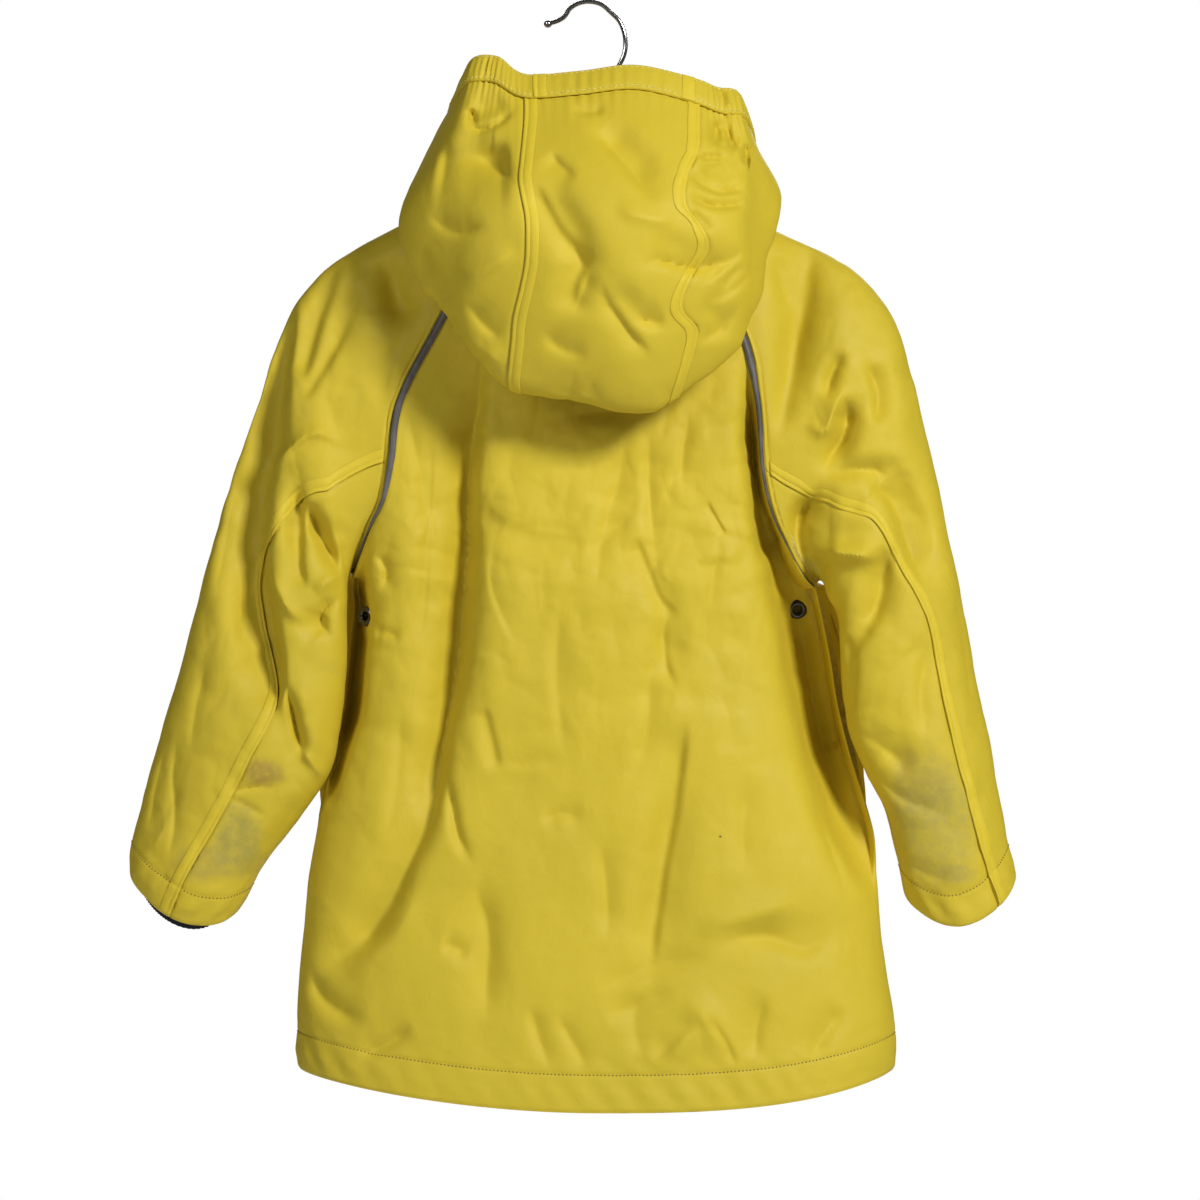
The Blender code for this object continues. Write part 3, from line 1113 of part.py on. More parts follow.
# ---- The hanger ---------------------------------------------------------------------------
def solid_bar(name, rings, material):
    """A solid through rings of points that run anticlockwise seen from its start, capped at both ends."""
    count, around = rings.shape[:2]
    place = np.arange(count * around).reshape(count, around)
    beside = np.roll(place, -1, axis=1)
    quads = np.stack([place[:-1], place[1:], beside[1:], beside[:-1]], axis=-1).reshape(-1, 4)
    faces = [tuple(quad) for quad in quads]
    faces.append(tuple(place[0]))
    faces.append(tuple(place[-1][::-1]))
    mesh_object(name, rings.reshape(-1, 3), faces, material)


def ring_round(centre, ahead, sides, wide, deep):
    """An oval ring of points round a path in the XZ plane: wide in that plane, deep along Y."""
    angles = np.linspace(0, 2 * math.pi, sides, endpoint=False)[:, None]
    out = np.array([-ahead[2], 0.0, ahead[0]])
    return centre + out * np.cos(angles) * wide + np.array([0.0, 1.0, 0.0]) * np.sin(angles) * deep


def directions_along(path):
    """The unit direction of a path at each of its points."""
    ahead = np.gradient(path, axis=0)
    return ahead / np.linalg.norm(ahead, axis=1, keepdims=True)


def hanger_arms(grids, material):
    """One rounded bar from shoulder to shoulder, its upper edge just under the cloth."""
    arms = {}
    for side, sign in SIDES.items():
        shoulder = grids[f"sleeve_{side}_top"][1:, TOP_COLUMN]
        shoulder = shoulder[np.abs(shoulder[:, 0]) < HANGER_REACH]
        shoulder = shoulder - np.array([0, 0, WALL + HANGER_CLEARANCE])
        collar = np.array([(sign * x, 0.0, z) for x, z in HANGER_TOP])
        arms[side] = np.concatenate([collar, shoulder])
    upper_edge = np.concatenate([arms["left"][:0:-1], arms["right"]])
    ahead = directions_along(upper_edge)
    ends = np.ones(len(upper_edge))
    ends[[0, -1]] = HANGER_END_TAPER
    rings = []
    for point, way, end in zip(upper_edge, ahead, ends):
        centre = point - np.array([-way[2], 0.0, way[0]]) * HANGER_HEIGHT / 2
        rings.append(ring_round(centre, way, HANGER_SIDES, end * HANGER_HEIGHT / 2, end * HANGER_HALF_WIDTH))
    solid_bar("hanger_arms", np.array(rings), material)


def hanger_hook(material):
    """The bent wire with a ball on its tip."""
    path = np.array([(x, 0.0, z) for x, z in HOOK_PATH])
    reach = np.concatenate([[0], np.cumsum(np.linalg.norm(np.diff(path, axis=0), axis=1))])
    line = smooth(reach, path, np.linspace(0, reach[-1], HOOK_STEPS))
    ahead = directions_along(line)
    rings = [ring_round(point, way, HOOK_SIDES, HOOK_WIRE, HOOK_WIRE) for point, way in zip(line, ahead)]
    for along, radius in BALL_RINGS:
        centre = line[-1] + ahead[-1] * HOOK_TIP * along
        rings.append(ring_round(centre, ahead[-1], HOOK_SIDES, HOOK_TIP * radius, HOOK_TIP * radius))
    solid_bar("hanger_hook", np.array(rings), material)


def build():
    for thing in list(bpy.data.objects):
        bpy.data.objects.remove(thing, do_unlink=True)
    cloth = plain_material("yellow coated cloth", (0.66, 0.50, 0.05), 0.45)
    grey = plain_material("grey reflective piping", (0.10, 0.10, 0.10), 0.5)
    knit = plain_material("black knitted cuff", (0.012, 0.012, 0.02), 0.9)
    black = plain_material("black lacquered metal", (0.01, 0.01, 0.01), 0.2, 0.3)
    chrome = plain_material("chromed wire", (0.6, 0.6, 0.6), 0.15, 1.0)
    plastic = plain_material("black hanger plastic", (0.03, 0.03, 0.03), 0.5)
    grids, normals = panels()
    cut_and_close(grids, normals, cloth)
    hood_strips(grids, normals, cloth)
    hood_casing(grids, normals, cloth)
    sheet, ways = placket(grids, normals, cloth)
    press_studs(sheet, ways, black)
    for side in SIDES:
        sleeve_strip(side, grids, normals, cloth)
        piping(side, grids, normals, grey)
        inner_cuff(side, grids, normals, knit)
        eyelet(side, grids, normals, black)
    hanger_arms(grids, plastic)
    hanger_hook(chrome)


build()
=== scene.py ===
"""Dresses the child's raincoat: fine cloth panels, seams, stitches, materials, light and camera."""

import math

import bpy
import numpy as np
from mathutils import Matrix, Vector


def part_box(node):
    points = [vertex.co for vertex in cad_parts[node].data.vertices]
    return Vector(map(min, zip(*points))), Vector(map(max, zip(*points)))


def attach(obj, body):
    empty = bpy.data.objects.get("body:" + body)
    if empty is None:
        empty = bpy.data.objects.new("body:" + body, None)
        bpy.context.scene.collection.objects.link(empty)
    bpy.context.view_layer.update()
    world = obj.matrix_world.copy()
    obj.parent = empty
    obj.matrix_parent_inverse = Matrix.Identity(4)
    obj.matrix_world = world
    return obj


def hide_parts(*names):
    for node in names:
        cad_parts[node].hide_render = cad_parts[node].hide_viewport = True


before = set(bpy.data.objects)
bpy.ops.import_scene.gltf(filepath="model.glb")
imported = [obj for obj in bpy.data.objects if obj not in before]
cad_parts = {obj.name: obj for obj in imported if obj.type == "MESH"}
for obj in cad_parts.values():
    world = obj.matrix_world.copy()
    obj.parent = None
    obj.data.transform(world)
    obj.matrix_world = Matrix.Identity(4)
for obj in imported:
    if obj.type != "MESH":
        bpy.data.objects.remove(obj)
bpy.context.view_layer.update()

# All lengths are in millimetres and MM turns them into metres, in the part's own frame: X to the
# wearer's right, Y to the wearer's front, Z up, the origin where the hanger's hook hangs.
MM = 0.001
CIRCLE = 2 * math.pi
SIDES = {"left": -1, "right": 1}

# ---- Camera and picture -------------------------------------------------------------------
PICTURE_SIDE = 1200.0       # pixels
PICTURE_SCALE = 0.72        # millimetres to a pixel in the plane y = 0
VIEW_CENTRE = (7.2, -429.1)             # (x, z) at the middle of the picture
CAMERA_DISTANCE = 3200.0
SENSOR = 36.0

# ---- Driving dimensions -------------------------------------------------------------------
WALL = 1.5                  # coated cloth with its fleece back
LIFT = 0.3                  # from a panel to what is sewn flat on it
STRIP_WIDTH = 9.5           # lapped seam strips of hood and sleeves
STRIP_MARKS = np.array([0.0, 0.05, 0.14, 0.28, 0.33, 0.38, 0.6, 0.95, 1.0])     # shares of that width
STRIP_HEIGHTS = np.array([0.1, 0.45, 0.5, 0.45, 0.15, 0.4, 0.4, 0.35, 0.1])     # and the heights there
STRIP_START = 5.0           # from the armhole to the sleeve strip's upper end
STRIP_ROWS = (5, 0.86)      # first row of a hood strip, and the share of the rows where it ends
PIPING_WIDTH, PIPING_HEIGHT = 5.8, 2.2
PIPING_LENGTH = 304.0       # from the neckline down the back's edge
PIPING_START, PIPING_LINES = 4, 9       # its first row, and its lines from edge to edge
CASING_WIDTH, CASING_AT_ENDS, CASING_NARROWS = 22.0, 12.0, 0.2          # the last in u, from each end
CASING_HEIGHT, CASING_PUFF = 1.3, 0.9
CASING_STEPS, CASING_LINES = 420, 19
CASING_STITCHES = {"lower": 16, "upper": 2}             # on these of its lines
CASING_STITCH = (3.9, 2.5, 0.34)        # pitch, length and radius of a stitch, as in the next two
PLACKET_STITCH = (3.4, 2.3, 0.3)
EDGE_STITCH, EDGE_SINK = (2.7, 1.3, 0.5), 0.1           # and how deep it lies in the cloth
CASING_JOG = {"left": 0.004, "right": -0.004}           # sideways shift of the strips on the casing, in u
HEM_TURN, CUFF_TURN = 27.0, 24.0        # from the edge to its row of stitches
PLACKET_HALF_WIDTH, PLACKET_HEIGHT = 19.0, 1.8
PLACKET_LINES = 13          # on each side of its middle
PLACKET_STITCHES = {"left": 2, "right": -3}             # on these lines of the whole
PLACKET_ENDS = 2            # rows that it leaves free at the neck and at the hem
STUD_COUNT, STUD_SIDES, EYELET_SIDES = 5, 40, 48
STUD_PROFILE = (            # (radius, height over the placket)
    (0.01, 0.0), (6.8, 0.0), (6.9, 0.7), (6.4, 1.3), (5.2, 1.6), (4.6, 1.9), (4.2, 2.5), (2.6, 2.75),
    (0.01, 2.8),
)
EYELETS = {"left": (-159.0, -440.0), "right": (150.0, -436.0)}          # (x, z) in the back, under each arm
EYELET_CUT = 4.2            # hole in the cloth under an eyelet
EYELET_TURN, EYELET_LIFT = 0.8, 0.5     # how far an eyelet turns to the back, and rises from creased cloth
EYELET_PROFILE = (          # (radius, height over the cloth), from the barrel's bore outwards
    (3.0, -3.2), (3.0, 0.9), (3.3, 1.7), (4.2, 2.3), (5.3, 2.2), (6.5, 1.5), (7.2, 0.5), (7.2, -0.6),
    (3.8, -0.6), (3.8, -3.2),
)
CUFF_REACH = {"left": 5.0, "right": -6.0}       # of the inner cuff past the sleeve's edge, or short of it
CUFF_ROWS, CUFF_WALL, CUFF_RIBS, RIB_HEIGHT = 15, 2.0, 74, 0.5
CUFF_START, CUFF_STEPS = 0.90, 320      # share of the sleeve where it begins, and steps round it
CUFF_INSET = ((0, 4, 14), (2.3, 8.0, 7.2))      # of its outer face in the sleeve, at these rows
HANGER_HALF_WIDTH, HANGER_HEIGHT = 5.5, 18.0
HANGER_REACH, HANGER_CLEARANCE = 178.0, 1.0
HANGER_RINGS, HANGER_SIDES = 120, 24
HOOK_RINGS, HOOK_SIDES, TIP_RINGS = 160, 20, 12
# The (x, z) of the bar's upper edge by its stem, and the bar's share of its size at these rings from an end.
HANGER_TOP = ((0, -113), (24, -115), (48, -124), (70, -134.6))
HANGER_ENDS = ((0, 1, 2, 4, 6), (0.35, 0.62, 0.8, 0.95, 1.0))
HOOK_WIRE, HOOK_TIP = 1.7, 2.9          # radii of the wire and of the ball on its tip
TIP_START, TIP_END = 0.6, math.pi - 0.12                # angles of the ball's first and last ring
HOOK_PATH = (               # (x, z) of the wire, from the bar up and round to its tip
    (0, -112.7), (0, -92), (2, -74), (8, -60), (16.5, -50), (21.5, -43), (24.6, -36), (25.6, -27.4),
    (24.4, -19.5), (21, -12), (15, -6), (8, -0.2), (0, 1.7), (-8, 0.6), (-14.5, -3.4), (-19, -9.6),
    (-23.5, -12.2), (-28, -13.6),
)
STITCH_RINGS = ((0.0, 0.35), (0.22, 1.0), (0.78, 1.0), (1.0, 0.35))     # shares of its length and radius
STITCH_SIDES = 6

# ---- Relief of the fine cloth -------------------------------------------------------------
SHARP_ANGLE = math.radians(60)
INNER_STRIDE = 3            # outer grid steps to one step of a panel's hidden side
BACK_CRUMPLE = (0.25, 0.95)             # share of the small folds at the back's hem and at its top,
BACK_CRUMPLE_FROM = (-380, 240)         # which changes from this z down, over this length
# Over which the small folds grow from a body seam, and from the top edge of a sleeve or a hood panel.
SEAM_CALM, TOP_CALM = 30.0, 40.0
ROLL_DEPTH, ROLL_WIDTH = 1.0, 1.6       # how the cloth rolls into its seams
WELT_WIDTH, WELT_HEIGHT = 3.6, 0.9      # the stitched welt of each sleeve beside the piping
HEM_GROOVE, HEM_GROOVE_WIDTH, HEM_PUFF = 0.6, 1.3, 0.8
HEM_EDGE, HEM_EDGE_WIDTH = 1.1, 1.6     # rounding of the very edge
PUCKER_PITCH, PUCKER_DEPTH, PUCKER_SLANT = 21.0, 0.75, 0.55
RIPPLES = ((150, 0.4, 0.7), (96, 1.5, 0.5))             # length, turn, height
CRUMPLES = (                # length, turn, height
    (74, 0.25, 2.0), (58, 1.75, 1.6), (43, 1.0, 1.3), (30, 2.6, 0.95), (21, 0.6, 0.6), (14, 2.0, 0.3),
)
EDGE_RELIEF = 0.3           # share of a sleeve's relief that shows where it turns out of sight
SMALL_DENSITY = 0.0016      # short creases to a square millimetre
SMALL_HEADING = 1.0         # their usual direction, from the X axis
SMALL_LENGTH, SMALL_WIDTH, SMALL_DEPTH = (16.0, 62.0), (2.0, 5.0), (0.3, 1.2)
GATHER_COUNT = 92           # wrinkles round the whole face edge
GATHER_EVERYWHERE, GATHER_REACH = 0.22, 16.0
GATHER_PLACES = (           # u, width in u, and how much stronger the wrinkles are there
    (0.36, 0.02, 0.7), (0.655, 0.022, 1.0), (0.50, 0.02, 0.25), (0.15, 0.12, 0.35), (0.85, 0.12, 0.35),
)

# ---- Colours, linear, and light -----------------------------------------------------------
CLOTH_COLOUR = (0.62, 0.472, 0.026)
CLOTH_WORN = (0.555, 0.425, 0.023)
GRIME_COLOUR = (0.34, 0.27, 0.075, 1.0)
GREEN_GREY = (0.26, 0.25, 0.085, 1.0)
SCUFF_BROWN = (0.28, 0.16, 0.055, 1.0)
DARK_SPOT = (0.05, 0.04, 0.03, 1.0)
BACK_STAINS = (((92.0, -596.0), (1.0, 0.8), DARK_SPOT, 0.9),)
SLEEVE_STAINS = {           # centre (x, z), half widths, colour, strength
    "left": (
        ((-250.0, -600.0), (16.0, 24.0), GREEN_GREY, 0.55),
        ((-231.0, -552.0), (13.0, 9.0), SCUFF_BROWN, 0.6),
        ((-275.0, -617.0), (20.0, 12.0), GRIME_COLOUR, 0.5),
    ),
    "right": (
        ((246.0, -590.0), (30.0, 40.0), GREEN_GREY, 0.4),
        ((236.0, -560.0), (22.0, 26.0), GRIME_COLOUR, 0.4),
        ((262.0, -624.0), (12.0, 7.0), GRIME_COLOUR, 0.5),
    ),
}
BLOT_EDGE = (1.45, 0.45)    # where a stain ends, from its centre and with its raggedness, and how softly
WORLD_LIGHT, WORLD_SEEN = 0.05, 1.0     # strength of the surround as a light, and as the plain background
FLOOR_HEIGHT, FLOOR_REACH = -1.6, 3.0   # metres
LIGHT_AIM = (0.0, 0.0, -0.45)
LIGHTS = (                  # name, place in metres, side in metres, watts
    ("right", (1.75, -2.4, 1.05), 0.6, 95.0),
    ("left", (-2.1, -2.3, 0.9), 0.9, 26.0),
    ("front", (0.3, 2.9, 1.1), 1.6, 70.0),
)


# ---- Tables -------------------------------------------------------------------------------
def table(text):
    """Rows of numbers under a line of column names. The first column holds the rows' places."""
    return np.array([line.split() for line in text.strip().splitlines()[1:]], float)


def folds_of(text):
    """Folds, one to a line: kind, depth, width and reach, then the points of its path."""
    folds = []
    for line in text.strip().splitlines():
        head, path = line.split(":")
        kind, *sizes = head.rsplit(maxsplit=3)
        points = [point.split(",") for point in path.split()]
        folds.append((kind, *map(float, sizes), np.array(points, float)))
    return folds


# Places once round a sleeve: 0 is the underarm seam, then come the lapped seam down the back of the
# arm, the back raglan seam's end on the neckline, the top of the arm and the front raglan seam's end.
ARM_SEAM, BACK_NECK, TOP, FRONT_NECK = 0.20, 0.42, 0.50, 0.58

# Neckline from the left front edge, round the back of the neck, to the right front edge.
NECKLINE = table("""
n x y z
0 0 48 -208
0.12 -40 44 -184
0.22 -66 28 -152
0.3 -77 -2 -134
0.38 -62 -30 -143
0.5 0 -40 -158
0.62 62 -30 -144
0.7 77 -2 -135
0.78 66 28 -152
0.88 40 44 -184
1 0 48 -208
""")
NECK_FRONT, NECK_SHOULDER, NECK_BACK = 0.22, 0.30, 0.38

# Armhole: the raglan seams from the underarm up the back to the neckline, and down the front.
ARMHOLE_BACK = table("""
a left_x left_y left_z right_x right_y right_z
0 -171 6 -413 163 6 -421
0.05 -164 -13 -396 153 -12 -411
0.1 -155 -27 -375 141 -25 -389
0.15 -147 -34 -357 131 -33 -366
0.2 -143 -37 -330 125 -36 -337
0.27 -137 -40 -286 121 -40 -286
0.34 -108 -39 -229 110 -39 -237
0.42 -62 -30 -143 62 -30 -144
""")
ARMHOLE_FRONT = table("""
a left_x left_y left_z right_x right_y right_z
0.58 -66 28 -152 66 28 -152
0.66 -106 39 -222 106 39 -226
0.76 -134 41 -296 126 41 -302
0.86 -148 37 -352 140 37 -360
0.94 -161 24 -394 154 24 -402
1 -171 6 -413 163 6 -421
""")
ARMHOLE_SIDES = {"left": slice(0, 3), "right": slice(3, 6)}
ARMHOLE_REACH = 0.16        # share of the sleeve over which the armhole's shape fades out

# Sleeves: a row for each section from armhole to cuff. The outer edge is the top of the arm and
# the inner edge its underarm seam. strip is the share of the way from the inner edge to the outer
# one where the back arm seam runs, and drop is how far the back of a section hangs below its edges.
LEFT_SLEEVE = table("""
t outer_x outer_y outer_z inner_x inner_y inner_z half_depth strip drop
0 -77 -2 -134 -171 6 -413 38 0.3 0
0.04 -110 0 -147 -172 4 -410 38 0.295 0
0.09 -149 1 -166 -173 -1 -412 37 0.3 0
0.15 -188 2 -189 -174 -7 -418 37 0.316 0
0.2 -208 3 -210 -174 -11 -427 38 0.35 0
0.26 -222 4 -236 -175 -13 -441 39 0.43 0
0.36 -242 4 -295 -174 -13 -465 40 0.58 0
0.47 -266 4 -368 -176 -12 -496 41 0.66 2
0.58 -286 3 -443 -180 -11 -524 41 0.4 4
0.7 -307 2 -520 -188 -10 -556 40 0.46 6
0.81 -321 1 -570 -209 -8 -588 38 0.5 9
0.91 -330 0 -606 -234 -4 -620 35 0.55 14
1 -331 0 -626 -254 0 -654 31 0.6 19
""")
RIGHT_SLEEVE = table("""
t outer_x outer_y outer_z inner_x inner_y inner_z half_depth strip drop
0 77 -2 -135 163 6 -421 38 0.294 0
0.04 107 0 -150 165 4 -416 38 0.26 0
0.09 144 1 -168 167 -1 -416 37 0.245 0
0.15 175 2 -182 169 -7 -420 37 0.25 0
0.2 196 3 -196 171 -11 -427 38 0.27 0
0.26 215 4 -220 177 -13 -438 39 0.32 0
0.36 232 4 -268 179 -13 -462 40 0.45 0
0.47 249 4 -337 181 -12 -492 41 0.57 2
0.58 264 3 -409 185 -11 -520 41 0.7 4
0.7 277 2 -478 197 -10 -552 40 0.69 6
0.81 289 1 -538 212 -8 -581 38 0.7 12
0.91 299 0 -592 220 -4 -610 35 0.76 20
1 307 0 -628 227 0 -643 31 0.81 26
""")
SLEEVES = {"left": LEFT_SLEEVE, "right": RIGHT_SLEEVE}
SLEEVE_ROUNDNESS = 0.85     # power of the sine that rounds a section: under 1 is fuller than an ellipse
HANG_ROUNDNESS = 1.6        # the same for how far a section's back hangs below its edges
FRONT_HANG = -0.2           # share of that hang on a section's front
SLEEVE_ROOM = 42.0          # depth that the sleeve's folds come near and don't pass
SLEEVE_FOLDS_START, SLEEVE_FOLDS_END = 0.08, 0.14       # shares of the sleeve over which they grow and fade
SLEEVE_FOLD_SPREAD = 0.5    # power of the sine that fades them at the sleeve's two edges
FRONT_FOLD_SHARE = 0.7      # of a fold's depth that shows on the front of the sleeve

# Side seams of the body, from the underarm (q = 0) to the hem (q = 1).
SIDE_SEAMS = table("""
q left_x left_z right_x right_z y
0 -171 -413 163 -421 6
0.06 -171 -434 168 -441 18
0.14 -174 -462 174 -470 23
0.26 -178 -504 180 -507 23
0.36 -185 -539 189 -543 18
0.45 -194 -571 199 -574 11
0.52 -197 -595 205 -597 7
0.62 -203 -631 207 -631 4
0.72 -206 -666 210 -666 2
0.82 -209 -702 215 -702 1
0.92 -211 -737 220 -737 0
1 -210 -764 220 -765 0
""")
SEAM_PLACES = {"left": [0, 4, 1], "right": [2, 4, 3]}   # of x, y and z in that table, after q

# The body down its centre: r is 0 at the neckline, 1 at the underarms and 2 at the hem.
# fullness is the power of the section's curve: 2 is an ellipse, and more is squarer.
BACK_CENTRE = table("""
r depth fullness
0 40 2
0.3 45 2.1
0.6 52 2.3
1 60 2.6
1.3 64 2.8
1.6 70 2.8
2 80 2.7
""")
FRONT_CENTRE = table("""
r y z fullness
0 48 -208 2
0.25 51 -252 2
0.5 54 -304 2.1
0.75 57 -362 2.2
1 60 -424 2.4
1.4 63 -560 2.6
2 68 -776 2.6
""")
# How far each front swells past its side seam, behind the hanging sleeve.
FRONT_BILLOW = table("""
q out
-0.07 0
-0.03 12
0 18
0.03 21
0.06 23
0.12 24
0.28 24
0.42 14
0.58 0
1 0
""")
BILLOW_PEAK = 0.05          # share of a front, from its side seam, where that swell is fullest
BILLOW_END = 0.15           # and the share past it over which it fades out
BACK_HEM_DROP = 25.0        # how far the centre of the back hem hangs below the side seams
HEM_CURVE = (1.9, 2.9)      # power of the hem's curve on the left half and on the right one
SEAM_MARGINS = (0.03, 0.014)            # shares of the back kept free of folds, by the armhole and below it
FRONT_MARGINS = (0.1, 0.2)  # shares of a front over which its folds fade out at its side and its centre
NECK_MARGIN = 0.2           # share of the body above the underarms that is kept free of folds
NECK_REACH = 0.45           # share of the body above the underarms over which the neckline fades out

# Hood, dropped on the back: a row for each section from the left end of the face edge, round the
# back, to its right end. rim is the face edge, swell the fullest point and fold the bag's lowest,
# where it turns under; tuck is where the cloth lies on the coat.
HOOD = table("""
u rim_x rim_y rim_z swell_x swell_y swell_z fold_x fold_y fold_z tuck_x tuck_y tuck_z
0 -4 60 -160 -6 63 -172 -6 62 -184 -4 58 -194
0.1 -46 52 -136 -56 60 -146 -60 58 -158 -52 52 -168
0.2 -78 24 -92 -97 30 -106 -104 28 -124 -92 24 -136
0.28 -88 -22 -58 -111 -24 -98 -120 -22 -128 -106 -18 -136
0.32 -82 -60 -47 -104 -86 -116 -135 -64 -171 -116 -48 -164
0.37 -66 -69 -46 -84 -122 -160 -99 -88 -232 -92 -62 -222
0.44 -43 -76 -60 -40 -142 -166 -56 -98 -280 -52 -68 -264
0.49 -7 -80 -58 -8 -152 -172 -12 -102 -290 -10 -70 -272
0.55 35 -80 -54 35 -152 -175 32 -102 -299 28 -70 -280
0.6 75 -76 -63 70 -140 -174 60 -96 -289 54 -68 -270
0.645 90 -68 -68 106 -116 -168 107 -82 -243 96 -62 -226
0.68 103 -56 -69 115 -72 -112 133 -58 -164 114 -46 -162
0.72 109 -20 -83 121 -24 -112 131 -22 -138 108 -18 -138
0.8 82 24 -104 98 30 -112 104 28 -126 92 24 -136
0.9 46 52 -138 56 60 -148 60 58 -160 52 52 -170
1 4 60 -160 6 63 -172 6 62 -184 4 58 -194
""")
HOOD_SPANS = {"left": (0.0, "left"), "centre": ("left", "right"), "right": ("right", 1.0)}
HOOD_STEPS = {"left": 168, "centre": 102, "right": 156}
HOOD_SEAMS = {"left": 0.44, "right": 0.60}      # u at the seams either side of its centre panel
HOOD_RISE = 9.0             # how far the hood stands up from the neckline before it falls back
# Sideways wander of the two hood seams, as a change of u down the section.
SEAM_WANDER = table("""
v left right
0 -0.007 0.0055
0.08 -0.007 0.0055
0.152 -0.0115 0.0035
0.19 -0.014 -0.004
0.225 -0.0155 -0.0075
0.26 -0.012 -0.0045
0.297 -0.007 0.0105
0.33 -0.004 0.015
0.369 -0.0015 0.0035
0.405 -0.003 -0.0035
0.441 -0.005 0.01
0.475 -0.0035 0.009
0.514 -0.0025 0.005
0.586 0 0.0025
1 0 0
""")
# Where the named points of a section lie along it: rim, swell, fold, tuck, over the neckline, neckline.
SECTION_MARKS = (0.0, 0.30, 0.58, 0.72, 0.93, 1.0)
HOOD_FOLDS_START = 0.1      # v over which the hood's folds grow from the face edge
HOOD_FOLDS_FADE = (0.52, 0.66)          # v between which they fade out under the bag
HOOD_FOLDS_BEHIND = (-70.0, -30.0)      # and y between which they fade out towards the shoulders

# Folds: "trough" and "ridge" lie on their path; "step" sinks what is on the path's right-hand side,
# going down the path, and "left step" what is on its left, out to the reach. A trough's or a ridge's
# reach, where it isn't 0, is the width of its flank on that side; its other flank has the width.
FOLD_END = 1 / 3            # share of a trough's or a ridge's path over which it fades at each end,
FOLD_LEAST = 0.25           # to this share of its depth
STEP_END = 1 / 6            # the same for a step, which fades out altogether
FOLD_SPAN = 3.0             # widths from its path, past which a fold is left out

# The part's own folds, with paths of (x, z) in millimetres.
BACK_FOLDS = folds_of("""
trough 8 15 0: -85,-315 -88,-392 -95,-472 -101,-524 -111,-552 -122,-600
trough 4 11 0: -112,-320 -118,-430 -124,-470
ridge 4 18 0: -62,-330 -60,-420 -72,-520
trough 4 11 0: 22,-322 14,-368
trough 5 12 0: -80,-352 -64,-380 -40,-388 0,-390
step 19 8 34: 112,-262 113,-330 121,-372 128,-402 134,-430 139,-460 148,-502 158,-545 182,-574
left step 17 7 26: -166,-398 -164,-430 -164,-462 -167,-500 -176,-540
trough 6 13 0: 68,-553 62,-576 56,-616 50,-650 48,-688
trough 5 11 0: 40,-396 54,-430 58,-470 66,-492
trough 6 17 0: -141,-646 -161,-680 -195,-700
trough 5 14 0: 108,-672 142,-664 178,-666
ridge 4 12 0: 36,-760 80,-728 108,-760
trough 5 14 0: -80,-622 -76,-668 -74,-732
""")
FRONT_FOLDS = folds_of("""
trough 7 15 0: -92,-300 -96,-400 -104,-500 -110,-600
trough 7 15 0: 88,-310 94,-420 104,-540 112,-640
trough 5 14 0: -150,-420 -140,-520 -146,-620
trough 5 14 0: 150,-430 146,-520 152,-600
ridge 5 16 0: -66,-560 -74,-660 -70,-760
ridge 5 16 0: 64,-580 70,-680 66,-760
""")
LEFT_SLEEVE_FOLDS = folds_of("""
trough 11 12 0: -150,-180 -138,-214 -120,-240
trough 6 14 0: -186,-196 -195,-230 -206,-272
trough 5 12 0: -164,-202 -176,-236 -186,-258
trough 9 13 0: -220,-244 -227,-286 -232,-336 -238,-362 -236,-420 -229,-468
trough 9 10 0: -103,-246 -110,-282
trough 8 9 0: -207,-352 -210,-376 -206,-402
trough 7 10 0: -203,-356 -190,-388 -181,-412
trough 8 11 0: -191,-437 -195,-446 -188,-452
ridge 6 12 0: -212,-480 -200,-520 -190,-548
trough 6 11 0: -222,-500 -206,-544 -196,-558
""")
RIGHT_SLEEVE_FOLDS = folds_of("""
trough 11 14 0: 158,-184 156,-215 146,-257 135,-293
trough 5 12 0: 203,-258 209,-281 199,-305
trough 6 9 0: 186,-279 183,-308 171,-335
trough 8 11 0: 170,-336 213,-336 220,-345 231,-368 244,-415
trough 10 11 0: 164,-354 150,-374 148,-397 156,-410
ridge 7 9 0: 160,-394 184,-396 208,-399
trough 8 10 0: 212,-401 208,-430 199,-451
trough 5 10 0: 208,-534 230,-552
""")
HOOD_FOLDS = folds_of("""
trough 8 11 0: -26,-134 -22,-156 -10,-176 -4,-196 -10,-220
trough 6 11 0: 8,-98 34,-126 44,-142
trough 5 9 0: 14,-212 34,-232 54,-234
trough 5 10 0: 38,-192 56,-186 72,-194 98,-186
trough 5 8 0: 76,-136 104,-132
trough 7 9 0: 84,-88 98,-104 112,-112
trough 6 9 0: -84,-86 -70,-84 -56,-80
trough 5 12 0: -96,-100 -68,-120 -56,-114
""")

